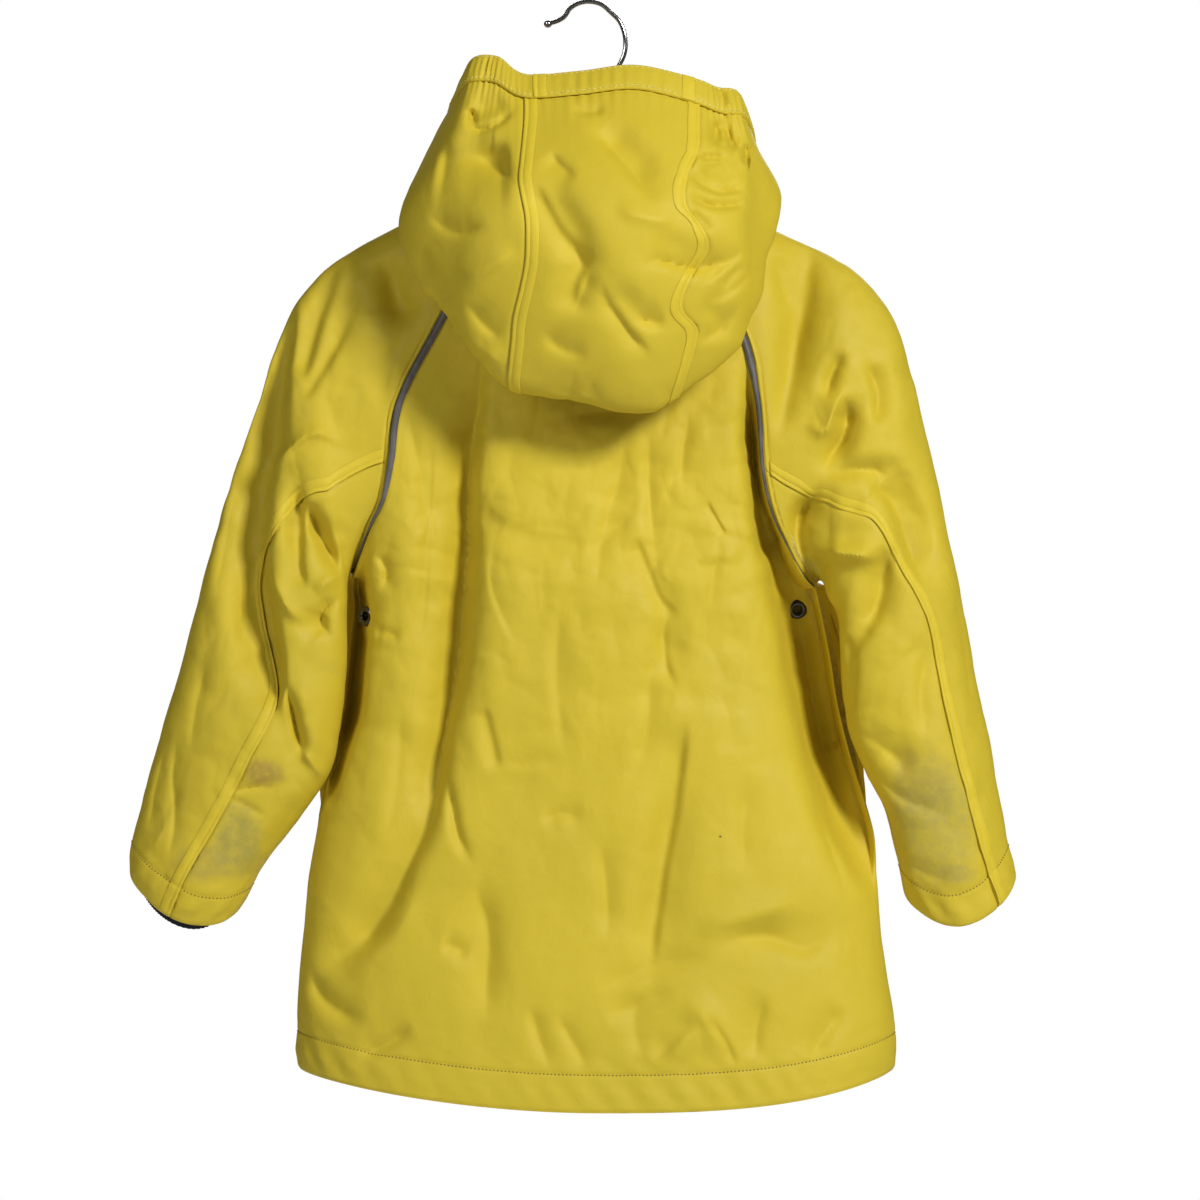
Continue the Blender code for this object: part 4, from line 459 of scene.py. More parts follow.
# Finer creases, with sizes in millimetres and paths of pixels in the picture.
BACK_Y, SLEEVE_Y, HOOD_Y = -62.0, -38.0, -128.0         # depths at which those points are read
PATH_STEP = 6.0             # length of a leg of the smooth path through them
CREASE_POWER = 1.4          # how a crease's flank falls off: 2 is rounded, and less is crisper
CREASE_GAIN, CREASE_DEEP = 1.35, 10.0   # how much deeper the creases shallower than this are made
BACK_CREASES = folds_of("""
left trough 27 5 24: 482,300 478,395 471,440 467,480 465,545 462,600 459,640 454,680 449,710 443,740 \
    437,770 430,800 420,840
left trough 15 5 24: 452,690 445,740 440,770 434,800 428,826 416,850 404,875 394,897 380,920 364,942 \
    340,960 306,980
ridge 4 9 14: 420,880 404,920 378,952 340,984
trough 3.4 4 8: 440,944 456,948 468,958
left step 0.8 1 6: 433,430 429,520 425,600 421,640
trough 2.2 4 7: 405,400 412,440 420,480 424,520
left step 0.8 2.5 14: 474,478 484,500 500,520 525,530 590,541 612,545
trough 1.6 2 12: 495,536 490,565 493,592 504,620 520,650
trough 3.4 6 14: 626,425 621,470 607,520 600,550 598,600
trough 3.6 5 7: 650,425 649,477 652,520 656,560
trough 2.6 4 6: 692,415 685,440 682,490
left step 3.2 2.2 12: 638,535 645,556 653,575 662,598 682,614
left trough 3.2 3 8: 665,612 664,640 667,668 680,694
left step 1.8 0.8 5: 708,500 719,520 728,535
trough 2.6 5 9: 724,520 714,575 706,620 705,665
left step 5.5 2.6 20: 688,715 686,745 681,785 676,820 668,860 662,900 657,935 654,975
left step 3 2.4 9: 486,705 491,724 496,745 501,770
trough 1.4 4 8: 494,766 525,763 568,761
trough 4.5 4 0: 446,768 452,805 462,845 476,868
trough 3.2 5 9: 470,872 480,900 488,930 486,985 488,1026
trough 3.4 8 12: 645,620 650,680 648,720 640,760 626,798
trough 2.6 3 6: 540,824 560,814 584,820
trough 3.6 5 9: 598,835 605,880 608,945
ridge 3.6 8 11: 690,936 715,924 756,914 802,900
trough 3.8 5 9: 712,948 740,938 771,938 806,950 836,930
trough 3.4 5 11: 590,988 628,976 666,964 715,956
trough 3 5 10: 601,1018 639,1003 677,987
trough 4 4 9: 650,1060 681,1033 703,1010
left trough 3.8 3 8: 703,1010 722,1036 737,1068
trough 3.4 4 8: 812,760 826,828 850,900
trough 2.6 4 7: 530,1000 538,1035 552,1068
trough 2.6 4 7: 556,1010 573,1042 590,1070
ridge 3.4 6 10: 650,1064 675,1045 700,1015 716,1036 738,1066
trough 3.6 5 9: 754,1062 757,1022 767,992
trough 4.2 6 12: 808,1062 823,1037 847,1006
trough 4.4 5 8: 356,1058 385,1045 416,1026
trough 5.5 5 11: 309,968 320,1000 340,1015 368,1024
step 27 4.5 42: 740,345 744,385 747,415 751,450 755,490 761,530 768,560 775,600 785,640 792,680 798,710 \
    806,740 812,765 822,792 834,825 852,862 868,892 884,920
trough 26 14 0: 790,540 801,600 812,660 822,715 832,760 848,812 864,856 880,900
left step 20 2.5 24: 370,548 366,575 362,600 360,625 363,650 362,680 358,705 350,732 341,758 332,788 \
    326,815
trough 4 2.5 5: 370,554 382,561 386,575 378,590
trough 3.2 2.5 5: 370,637 384,632 400,642
trough 2.4 5 9: 560,600 556,680 566,760
trough 2.6 6 10: 400,700 396,780 384,850
trough 2.4 6 9: 640,990 634,1020 644,1060
trough 2.6 6 11: 750,770 742,830 748,880
""")
LEFT_SLEEVE_CREASES = folds_of("""
left step 40 3 26: 296,290 287,345 284,370 282,400 279,425 278,445 272,470 266,490 265,520 264,550 \
    267,575 271,600 276,630 280,655 281,690 280,725
ridge 5 4 7: 268,494 276,462 290,448 305,437 320,433 335,440 345,452
left step 8 3 13: 340,255 328,295 320,320 312,350 303,385
left step 4.5 3 9: 364,276 350,318 333,354 303,406
trough 5 3 6: 383,400 390,368 402,334
trough 10 6 10: 383,253 390,275 399,303 411,318 424,330
left step 10 2.6 10: 303,484 302,510 302,540 303,565 308,590
trough 18 4 5: 309,498 313,518 319,534 329,554 342,580
ridge 5 4 7: 270,566 281,595 290,610 310,624
trough 11 4 0: 344,596 328,604 320,615 322,628 335,636
ridge 4.5 3.5 5: 314,594 330,580 346,577
trough 9 2.5 5: 286,680 291,705 296,730 304,760
ridge 4 3 5: 298,744 313,765 328,784
trough 3.9 6 11: 250,560 242,610 238,660
trough 3.4 6 11: 240,440 226,520 212,600
trough 2.6 3 6: 176,730 171,780 174,820 168,866
trough 2.4 3 6: 164,745 152,795 145,836
trough 2.2 4 7: 205,650 196,700 190,760
trough 2.2 1.6 3: 224,792 250,789 282,787
trough 1.8 1.6 3: 228,798 250,808 268,820
trough 3.6 7 10: 306,796 282,830 262,862
""")
RIGHT_SLEEVE_CREASES = folds_of("""
left step 15 5 20: 820,225 815,270 812,300 805,330 798,360 792,390 785,420 774,450
trough 7 5 8: 777,250 783,280 792,312
trough 7 4.5 6: 826,402 832,375 846,350
trough 9 4.5 7: 844,392 848,420 842,440 832,455 822,474
trough 5 3 6: 865,355 876,380 880,400 874,428
ridge 6 5 6: 802,422 825,432 832,415 838,400 848,386
trough 5 6 0: 820,474 850,470 872,470 894,477
trough 14 5 11: 855,480 878,486 892,498 900,515 908,540 916,562 927,590
trough 18 5.5 0: 826,488 808,505 800,515 797,530 796,550 800,570 808,582
trough 9 5 0: 808,550 820,565 826,580 834,606
ridge 6.5 5 7: 806,551 835,553 858,556 888,559
left step 12 3.2 26: 894,545 889,575 885,597 877,620 862,645 846,668
left step 8 3 9: 850,632 854,655 855,680 851,718
trough 3.4 5 9: 930,640 920,690 925,740
trough 3.8 5 9: 856,732 880,745 896,757 908,776
trough 4 4 8: 868,770 885,785 902,799 925,808 952,816
trough 3.2 4 7: 908,862 930,876 956,880
left step 2.6 2 8: 846,722 857,757 872,782 888,810 893,830 903,842 907,860 911,890
trough 3.4 8 12: 905,330 915,400 930,460
trough 2.4 4 8: 958,560 966,640 980,720
""")
HOOD_CREASES = folds_of("""
left step 5 3 16: 536,178 548,205 556,220 568,238 580,250 589,259 587,268 580,278 577,295 576,322
trough 5 4 13: 586,122 605,140 618,155 632,172 645,190 658,206
trough 5.2 3.2 5: 638,270 660,262 684,268 700,268 718,262 738,259
left trough 4.6 3 8: 597,282 608,305 618,318 628,332 640,345 654,358
trough 3.2 2.6 5: 636,314 650,325 668,321
left step 8 7 30: 434,142 470,146 512,146
trough 4.5 2.4 0: 695,152 716,154 731,149
trough 5.5 2.8 5: 686,168 705,185 720,190 735,188 752,181
trough 5.5 2.8 5: 686,193 710,205 735,203 754,199
trough 3.6 2.6 5: 692,210 701,222 712,232
trough 10 3 0: 748,134 749,147 748,160
trough 5.5 3 5: 717,112 718,128 716,142
trough 4 2.5 0: 729,116 733,132 741,146
ridge 3.4 3 0: 723,117 726,130 728,144
trough 3.2 2.4 4: 570,103 590,108 608,102
trough 4.6 2 3: 460,114 475,124 490,122 502,115 515,102
trough 7 3 0: 469,100 471,110 473,120
trough 3.4 3 5: 718,294 735,272 749,262
trough 3.8 5 9: 700,300 718,318 726,344
ridge 4 7 10: 446,326 480,350 508,366
trough 3.4 4 9: 474,148 488,160 502,171 518,184
trough 3.2 3 9: 424,212 442,224 458,231 489,225
ridge 3.2 4 9: 452,286 470,278 489,269 520,250
left trough 3.4 3 9: 421,240 426,264 438,282 454,298
trough 3 4 9: 466,300 482,322 504,340
trough 3.4 3 8: 593,272 584,292 574,318
ridge 2.8 5 9: 612,210 643,221 680,226
trough 2.8 4 9: 540,330 560,348 590,356
trough 3.6 3 8: 697,286 720,268 748,246
trough 3 3 8: 701,304 729,292 760,264
trough 2.8 3 8: 694,345 721,327 743,300
trough 3 3 6: 744,146 722,162 697,172
left trough 3 3 7: 549,150 560,166 578,180
""")


# ---- Curves and folds ---------------------------------------------------------------------
def smooth(knots, values, at, own=False):
    """Reads a smooth curve through the values, whose slope at a knot is the mean of those beside it.

    With own, each place of the grid has its own row of values.
    """
    knots = np.asarray(knots, float)
    steps = np.diff(knots)
    wide = steps.reshape((-1,) + (1,) * (values.ndim - 1))
    rates = np.diff(values, axis=0) / wide
    middle = (rates[:-1] * wide[1:] + rates[1:] * wide[:-1]) / (wide[1:] + wide[:-1])
    slopes = np.concatenate([rates[:1], middle, rates[-1:]])
    at = np.clip(np.asarray(at, float), knots[0], knots[-1])
    first = np.clip(np.searchsorted(knots, at, side="right") - 1, 0, len(steps) - 1)
    pick = tuple(np.indices(first.shape)) if own else ()
    low, high = (first, *pick), (first + 1, *pick)
    share = ((at - knots[first]) / steps[first])[..., None]
    step = steps[first][..., None]
    rest = 1 - share
    start = rest * rest * (1 + 2 * share) * values[low]
    end = share * share * (1 + 2 * rest) * values[high]
    return start + end + share * rest * step * (rest * slopes[low] - share * slopes[high])


def read(rows, at):
    """A table's columns after its first, as smooth curves read at places in the first."""
    return smooth(rows[:, 0], rows[:, 1:], at)


def fade(share):
    """1 at 0, 0 from 1 on, level at both ends."""
    share = np.clip(share, 0, 1)
    return 1 - share * share * (3 - 2 * share)


def mix(first, second, share):
    return first * (1 - share) + second * share


def unit(ways):
    return ways / np.maximum(np.linalg.norm(ways, axis=-1, keepdims=True), 1e-9)


def run_along(points):
    """Distance along a row of points from its first to each of them."""
    return np.concatenate([[0], np.cumsum(np.linalg.norm(np.diff(points, axis=0), axis=1))])


def fine_path(path, count):
    run = run_along(path)
    return smooth(run, path, np.linspace(0, run[-1], count))


def all_folds(folds, creases=(), y=0.0):
    """The part's own folds and the finer creases at depth y, as one list with smooth paths."""
    together = [(*fold, FOLD_LEAST) for fold in folds]
    scale = PICTURE_SCALE * (CAMERA_DISTANCE + y) / CAMERA_DISTANCE
    for kind, depth, width, reach, pixels in creases:
        path = VIEW_CENTRE + (pixels - PICTURE_SIDE / 2) * (scale, -scale)
        path = fine_path(path, max(4, int(run_along(path)[-1] / PATH_STEP)))
        depth *= CREASE_GAIN if depth < CREASE_DEEP else 1.0
        together.append((kind, depth, width, reach, path, 0.0))
    return together


def fold_depth(grid, folds):
    """How far in from the outer face the folds sink each point of a grid."""
    x, z = grid[..., 0], grid[..., 2]
    total = np.zeros_like(x)
    for fold in folds:
        _, _, width, reach, path, _ = fold
        spare = FOLD_SPAN * max(width, reach)
        low, high = path.min(axis=0) - spare, path.max(axis=0) + spare
        near = (x > low[0]) & (x < high[0]) & (z > low[1]) & (z < high[1])
        if near.any():
            total[near] += one_fold(x[near], z[near], *fold)
    return total


def one_fold(x, z, kind, depth, width, reach, path, least):
    run = run_along(path)
    nearest = np.full(x.shape, np.inf)
    side = np.zeros_like(x)
    along = np.zeros_like(x)
    for start, leg, first, last in zip(path, np.diff(path, axis=0), run, run[1:]):
        dx = x - start[0]
        dz = z - start[1]
        share = np.clip((dx * leg[0] + dz * leg[1]) / (last - first) ** 2, 0, 1)
        away = np.hypot(dx - share * leg[0], dz - share * leg[1])
        closer = away < nearest
        nearest = np.where(closer, away, nearest)
        side = np.where(closer, np.where(dz * leg[0] - dx * leg[1] < 0, -1.0, 1.0), side)
        along = np.where(closer, mix(first, last, share) / run[-1], along)
    wanted = -1 if kind.startswith("left") else 1
    end = STEP_END if kind.endswith("step") else FOLD_END
    ends = fade(1 - along / end) * fade((along - 1) / end + 1)
    if kind.endswith("step"):
        past = nearest * side * wanted
        rise = 0.5 + 0.5 * np.tanh(past / width)
        return depth * ends * rise * np.exp(-(np.maximum(past, 0) / reach) ** 2)
    sign = -1 if kind == "ridge" else 1
    flank = np.where(side == wanted, reach or width, width)
    power = 2 if least else CREASE_POWER
    return sign * depth * mix(least, 1.0, ends) * np.exp(-(nearest / flank) ** power)


FOLDS = {
    "back": all_folds(BACK_FOLDS, BACK_CREASES, BACK_Y),
    "left": all_folds(LEFT_SLEEVE_FOLDS, LEFT_SLEEVE_CREASES, SLEEVE_Y),
    "right": all_folds(RIGHT_SLEEVE_FOLDS, RIGHT_SLEEVE_CREASES, SLEEVE_Y),
    "hood": all_folds(HOOD_FOLDS, HOOD_CREASES, HOOD_Y),
    "front": all_folds(FRONT_FOLDS),
}


# ---- The part's own surfaces --------------------------------------------------------------
def as_grid(down, across):
    return np.broadcast_arrays(np.asarray(down, float), np.asarray(across, float))


def neckline(n, side="left"):
    """The neckline, n from the middle of the front on that side."""
    return read(NECKLINE, n if side == "left" else 1 - n)


def armhole(side, a):
    """The edge of the sleeve at the body and neck: raglan seam, neckline, raglan seam."""
    back, front = (read(seam, a)[..., ARMHOLE_SIDES[side]] for seam in (ARMHOLE_BACK, ARMHOLE_FRONT))
    n = np.interp(a, (BACK_NECK, TOP, FRONT_NECK), (NECK_BACK, NECK_SHOULDER, NECK_FRONT))
    a = np.asarray(a)[..., None]
    return np.where(a < BACK_NECK, back, np.where(a > FRONT_NECK, front, neckline(n, side)))


def sleeve_section(side, t, a):
    """A section of the sleeve as a flattened oval between its inner and its outer edge."""
    values = read(SLEEVES[side], t)
    outer, inner = values[..., 0:3], values[..., 3:6]
    half_depth, strip, drop = np.moveaxis(values[..., 6:], -1, 0)
    strip_angle = np.arccos(1 - 2 * strip)
    above = mix(strip_angle, math.pi, (a - ARM_SEAM) / (TOP - ARM_SEAM))
    angle = np.where(a < TOP, above, CIRCLE * (1 - a))
    angle = np.where(a < ARM_SEAM, strip_angle * a / ARM_SEAM, angle)
    height = np.abs(np.sin(angle))
    points = mix(inner, outer, (1 - np.cos(angle))[..., None] / 2)
    points[..., 1] += np.where(a < TOP, -half_depth, half_depth) * height ** SLEEVE_ROUNDNESS
    points[..., 2] -= np.where(a < TOP, drop, FRONT_HANG * drop) * height ** HANG_ROUNDNESS
    return points


def sleeve(side, t, a):
    """A sleeve: t from its armhole to its cuff, a once round it."""
    t, a = as_grid(t, a)
    points = sleeve_section(side, t, a)
    edge = armhole(side, a) - sleeve_section(side, np.zeros_like(t), a)
    points += edge * fade(t / ARMHOLE_REACH)[..., None]
    back = np.sin(np.clip(a / TOP, 0, 1) * math.pi) ** SLEEVE_FOLD_SPREAD
    front = np.sin(np.clip((a - TOP) / (1 - TOP), 0, 1) * math.pi) ** SLEEVE_FOLD_SPREAD
    start, end = 1 - fade(t / SLEEVE_FOLDS_START), fade((t - 1) / SLEEVE_FOLDS_END + 1)
    depth = fold_depth(points, FOLDS[side]) * start * end
    room = SLEEVE_ROOM * np.maximum(back, front) ** 2 + 0.5
    depth = np.where(depth > 0, room * np.tanh(depth / room), depth)
    points[..., 1] += depth * back - FRONT_FOLD_SHARE * depth * front
    return points


def body_edge(side, r, face):
    """The edge of a back or front panel: its raglan seam while r is under 1, then its side seam."""
    up = np.clip(r, 0, 1)
    seam = armhole(side, BACK_NECK * (1 - up) if face == "back" else mix(FRONT_NECK, 1.0, up))
    lower = read(SIDE_SEAMS, np.clip(r - 1, 0, 1))[..., SEAM_PLACES[side]]
    return np.where(r[..., None] < 1, seam, lower)


def back(r, s):
    """The back panel: r down it, s across it from the left seam to the right one."""
    r, s = as_grid(r, s)
    depth, power = np.moveaxis(read(BACK_CENTRE, r), -1, 0)
    off = np.abs(2 * s - 1)
    points = mix(body_edge("left", r, "back"), body_edge("right", r, "back"), s[..., None])
    points[..., 1] = mix(points[..., 1], -depth, (1 - off ** power) ** (1 / power))
    hem_curve = 1 - off ** np.where(s < 0.5, *HEM_CURVE)
    points[..., 2] -= BACK_HEM_DROP * np.clip(r - 1, 0, 1) ** 2 * hem_curve
    first = mix(neckline(NECK_BACK), neckline(1 - NECK_BACK), s[..., None])
    first[..., 1] = mix(first[..., 1], -BACK_CENTRE[0, 1], (1 - off ** 2) ** 0.5)
    points += (neckline(mix(NECK_BACK, 1 - NECK_BACK, s)) - first) * fade(r / NECK_REACH)[..., None]
    inside = np.clip(np.minimum(s, 1 - s) / np.where(r < 1, *SEAM_MARGINS), 0, 1)
    points[..., 1] += fold_depth(points, FOLDS["back"]) * fade(1 - inside) * (1 - fade(r / NECK_MARGIN))
    return points


def front(side, r, s):
    """A front panel: r down it, s from its raglan or side seam to the centre front edge."""
    r, s = as_grid(r, s)
    x, y, z = np.moveaxis(body_edge(side, r, "front"), -1, 0)
    centre_y, centre_z, power = np.moveaxis(read(FRONT_CENTRE, r), -1, 0)
    billow = read(FRONT_BILLOW, r - 1)[..., 0]
    billow = billow * (1 - fade(s / BILLOW_PEAK)) * fade((s - BILLOW_PEAK) / BILLOW_END)
    x = x * (1 - s) + np.sign(x) * billow
    y = mix(y, centre_y, (1 - (1 - s) ** power) ** (1 / power))
    z = mix(z, centre_z, mix(s, 1 - (1 - s) ** 2, np.clip(r - 1, 0, 1)))
    points = np.stack([x, y, z], axis=-1)
    neck = neckline(mix(NECK_FRONT, 0.0, s), side)
    points += (neck - front_neck_row(side, s)) * fade(r / NECK_REACH)[..., None]
    inside = np.clip(s / FRONT_MARGINS[0], 0, 1) * np.clip((1 - s) / FRONT_MARGINS[1], 0, 1)
    points[..., 1] -= fold_depth(points, FOLDS["front"]) * inside * (1 - fade(r / NECK_MARGIN))
    return points


def front_neck_row(side, s):
    """The front panel's first row before the neckline's curve is added."""
    x, y, z = np.moveaxis(neckline(np.full(s.shape, NECK_FRONT), side), -1, 0)
    centre_y, centre_z, power = FRONT_CENTRE[0, 1:]
    bulge = (1 - (1 - s) ** power) ** (1 / power)
    return np.stack([x * (1 - s), mix(y, centre_y, bulge), mix(z, centre_z, s)], axis=-1)


def hood(u, v):
    """The hood: u round from the left end of the face edge to the right one, v from face edge to neck."""
    u, v = as_grid(u, v)
    named = np.moveaxis(read(HOOD, u).reshape(*u.shape, 4, 3), -2, 0)
    neck = neckline(u)
    marks = np.stack([*named, neck + (0.0, 0.0, HOOD_RISE), neck])
    points = smooth(SECTION_MARKS, marks, v, own=True)
    (under, far_under), (behind, far_behind) = HOOD_FOLDS_FADE, HOOD_FOLDS_BEHIND
    seen = fade((v - under) / (far_under - under)) * (1 - fade(v / HOOD_FOLDS_START))
    seen_depth = fold_depth(points, FOLDS["hood"]) * seen
    points[..., 1] += seen_depth * fade((points[..., 1] - behind) / (far_behind - behind))
    return points


# ---- Fine grids and relief ----------------------------------------------------------------
def outward_of(name):
    """-1 where a panel's columns run against the clock seen from outside, and 1 elsewhere."""
    return -1 if name in ("front_left", "sleeve_left_under", "sleeve_left_top") else 1


def facing(grid, outward):
    return unit(np.cross(np.gradient(grid, axis=0), np.gradient(grid, axis=1)) * outward)


def evened(ways):
    """The cloth's directions averaged over some grid steps either way, so no crease turns them."""
    for axis in (0, 1):
        last = ways.shape[axis] - 1
        for step in (1, 2, 4):
            before = np.take(ways, np.maximum(np.arange(last + 1) - step, 0), axis=axis)
            after = np.take(ways, np.minimum(np.arange(last + 1) + step, last), axis=axis)
            ways = ways + before + after
    return unit(ways)


def fewer(steps):
    return steps


def spread(*stops):
    """Joins evenly spaced runs: start, (end, steps), (end, steps) and so on."""
    line = [stops[0]]
    for end, steps in stops[1:]:
        line += list(np.linspace(line[-1], end, fewer(steps) + 1)[1:])
    return np.array(line, float)


def from_top(array, edge):
    """A grid turned so that the named edge is its first row."""
    array = array.swapaxes(0, 1) if edge in ("left", "right") else array
    return array[::-1] if edge in ("bottom", "right") else array


def from_edge(grid, edge):
    """Distance along the cloth from one edge of a grid to each of its points."""
    steps = np.linalg.norm(np.diff(from_top(grid, edge), axis=0), axis=-1)
    run = np.concatenate([np.zeros_like(steps[:1]), np.cumsum(steps, axis=0)])
    run = run[::-1] if edge in ("bottom", "right") else run
    return run.T if edge in ("left", "right") else run


def calm(grid):
    """0 at a panel's side seams and 1 well inside it, for the small folds."""
    return np.clip(np.minimum(from_edge(grid, "left"), from_edge(grid, "right")) / SEAM_CALM, 0, 1)


def bell(distance, centre, width):
    return np.exp(-(((distance - centre) / width) ** 2))


def seam_roll(grid, edges):
    """How far the cloth sinks where it rolls into its seams."""
    return sum(ROLL_DEPTH * bell(from_edge(grid, edge), 0, ROLL_WIDTH) for edge in edges)


def turned_edge(grid, turn):
    """Relief of a turned and stitched hem: a groove at the stitches, puckers and a rounded lower edge."""
    away = from_edge(grid, "bottom")
    along = from_edge(grid, "left")[-1][None, :]
    puckers = np.sin(CIRCLE * (along + PUCKER_SLANT * away) / PUCKER_PITCH + 1.7 * np.sin(along / 31))
    uneven = 0.6 + 0.4 * np.sin(along / 47 + 1.3)
    in_turn = np.clip(1 - np.abs(2 * away / turn - 1), 0, 1) ** 0.7
    relief = -HEM_GROOVE * bell(away, turn, HEM_GROOVE_WIDTH) + HEM_PUFF * in_turn
    relief += PUCKER_DEPTH * uneven * puckers * (in_turn + 0.5 * bell(away, turn + 4, 5))
    return relief - HEM_EDGE * bell(away, 0, HEM_EDGE_WIDTH)


def ripple(grid, seed):
    """Slow unevenness of hanging cloth, about a millimetre high."""
    total = 0.0
    for place, (length, turn, height) in enumerate(RIPPLES):
        phase = seed * 1.7 + place * 2.3
        across = grid[..., 0] * math.cos(turn) + grid[..., 2] * math.sin(turn)
        total += height * np.sin(CIRCLE * across / length + phase)
    return total


def crumple(grid, seed):
    """Small sharp-edged folds of stiff coated cloth, running every way and coming in patches."""
    x, z = grid[..., 0], grid[..., 2]
    total = 0.0
    for place, (length, turn, height) in enumerate(CRUMPLES):
        phase = seed * 2.1 + place * 1.9
        cos, sin = math.cos(turn), math.sin(turn)
        bend = 0.35 * length * np.sin(CIRCLE * (z * cos - x * sin) / (1.9 * length) + phase)
        wave = np.sin(math.pi * (x * cos + z * sin + bend) / length + phase)
        patch = np.sin(CIRCLE * (x + 0.6 * z) / (3.1 * length) + 2 * phase)
        patch = patch * np.sin(z / (0.7 * length) + phase)
        total += height * np.clip(0.55 + 0.7 * patch, 0, 1) * (np.sqrt(wave * wave + 0.004) - 0.6)
    return total


def small_creases(grid, seed, share=1.0, scale=1.0):
    """Scattered short creases of stiff cloth, on both faces of a sleeve alike."""
    random = np.random.default_rng(seed)
    low, high = grid[..., [0, 2]].min(axis=(0, 1)), grid[..., [0, 2]].max(axis=(0, 1))
    folds = []
    for _ in range(int(share * SMALL_DENSITY / scale ** 2 * (high[0] - low[0]) * (high[1] - low[1]))):
        start = random.uniform(low, high)
        heading = random.normal(SMALL_HEADING, 0.75)
        bend = random.normal(0.0, 0.35)
        length = scale * random.uniform(*SMALL_LENGTH)
        legs = [(math.cos(heading + bend * step), math.sin(heading + bend * step)) for step in range(4)]
        path = start + np.cumsum([(0.0, 0.0)] + legs, axis=0) * length / 4
        width = scale * random.uniform(*SMALL_WIDTH)
        depth = scale * random.uniform(*SMALL_DEPTH)
        kind = random.choice(("trough", "left trough", "ridge"))
        folds.append((kind, depth, width, width * random.uniform(1.5, 3.5), path, 0.0))
    return fold_depth(grid, folds)


def raised(grid, ways, relief):
    return grid + ways * relief[..., None], ways


def back_cloth():
    across = np.linspace(0, 1, fewer(288) + 1)
    across = mix((1 - np.cos(math.pi * across)) / 2, across, 0.62)          # finer steps by the seams
    grid = back(spread(0.0, (0.06, 12), (1.0, 108), (1.9, 126), (2.0, 36))[:, None], across)
    start, length = BACK_CRUMPLE_FROM
    low = mix(*BACK_CRUMPLE, fade((start - grid[..., 2]) / length))
    small = crumple(grid, 1) * low - (small_creases(grid, 31) + small_creases(grid, 32, scale=2.2)) * low
    relief = turned_edge(grid, HEM_TURN) - seam_roll(grid, ("left", "right"))
    return raised(grid, evened(facing(grid, 1)), relief + (ripple(grid, 1) + small) * calm(grid))


def front_cloth(side):
    across = np.linspace(0, 1, fewer(102) + 1) ** 1.3
    grid = front(side, spread(0.0, (1.0, 66), (1.9, 72), (2.0, 30))[:, None], across)
    small = ripple(grid, 4) + 0.7 * crumple(grid, 3) - small_creases(grid, 41 + SIDES[side])
    relief = turned_edge(grid, HEM_TURN) - seam_roll(grid, ("left",)) + small * calm(grid)
    return raised(grid, facing(grid, outward_of(f"front_{side}")), relief)


def sleeve_cloth(side, part):
    around = spread(0.0, (ARM_SEAM, 54)) if part == "under" else spread(ARM_SEAM, (TOP, 102), (1.0, 78))
    grid = sleeve(side, spread(0.0, (0.03, 12), (0.9, 198), (1.0, 30))[:, None], around)
    ways = evened(facing(grid, outward_of(f"sleeve_{side}_{part}")))
    away = from_edge(grid, "top")
    relief = turned_edge(grid, CUFF_TURN) - seam_roll(grid, ("left", "right"))
    welt = np.clip(1 - np.abs(away - WELT_WIDTH / 2) / (WELT_WIDTH / 2), 0, 1) ** 0.4
    welt = WELT_HEIGHT * welt - ROLL_DEPTH * bell(away, WELT_WIDTH + 0.6, 0.7)
    relief += welt * ((around < BACK_NECK) | (around > FRONT_NECK))
    seed = 7 + SIDES[side]
    small = ripple(grid, seed) + 0.8 * crumple(grid, seed)
    small -= small_creases(grid, seed, 0.5) + small_creases(grid, seed + 9, 0.5, 2.0)
    relief += small * np.clip(away / TOP_CALM, 0, 1)
    return raised(grid, ways, relief * mix(EDGE_RELIEF, 1.0, np.abs(ways[..., 1])))


def hood_edge(end, v):
    """u along an edge of a hood panel: one of its two seams, or a fixed place."""
    if end not in HOOD_SEAMS:
        return np.full_like(v, end)
    return HOOD_SEAMS[end] + read(SEAM_WANDER, v)[..., list(HOOD_SEAMS).index(end)]


def casing_foot(u):
    """v at the casing's lower edge."""
    fine = np.linspace(0, 1, 300)
    width = mix(CASING_AT_ENDS, CASING_WIDTH, np.clip(np.minimum(u, 1 - u) / CASING_NARROWS, 0, 1))
    run = from_edge(hood(u[:, None], fine), "left")
    return np.array([np.interp(far, line, fine) for far, line in zip(width, run)])


def gathers(u, past):
    """Wrinkles that the casing's elastic draws into the hood, past millimetres below the casing's foot."""
    wave = np.sin(CIRCLE * GATHER_COUNT * u + 2.1 * np.sin(19 * u)) + 0.5 * np.sin(CIRCLE * 61 * u + 1)
    stronger = sum(more * bell(u, centre, width) for centre, width, more in GATHER_PLACES)
    return (GATHER_EVERYWHERE + stronger) * wave * np.exp(-np.maximum(past, 0) / GATHER_REACH)


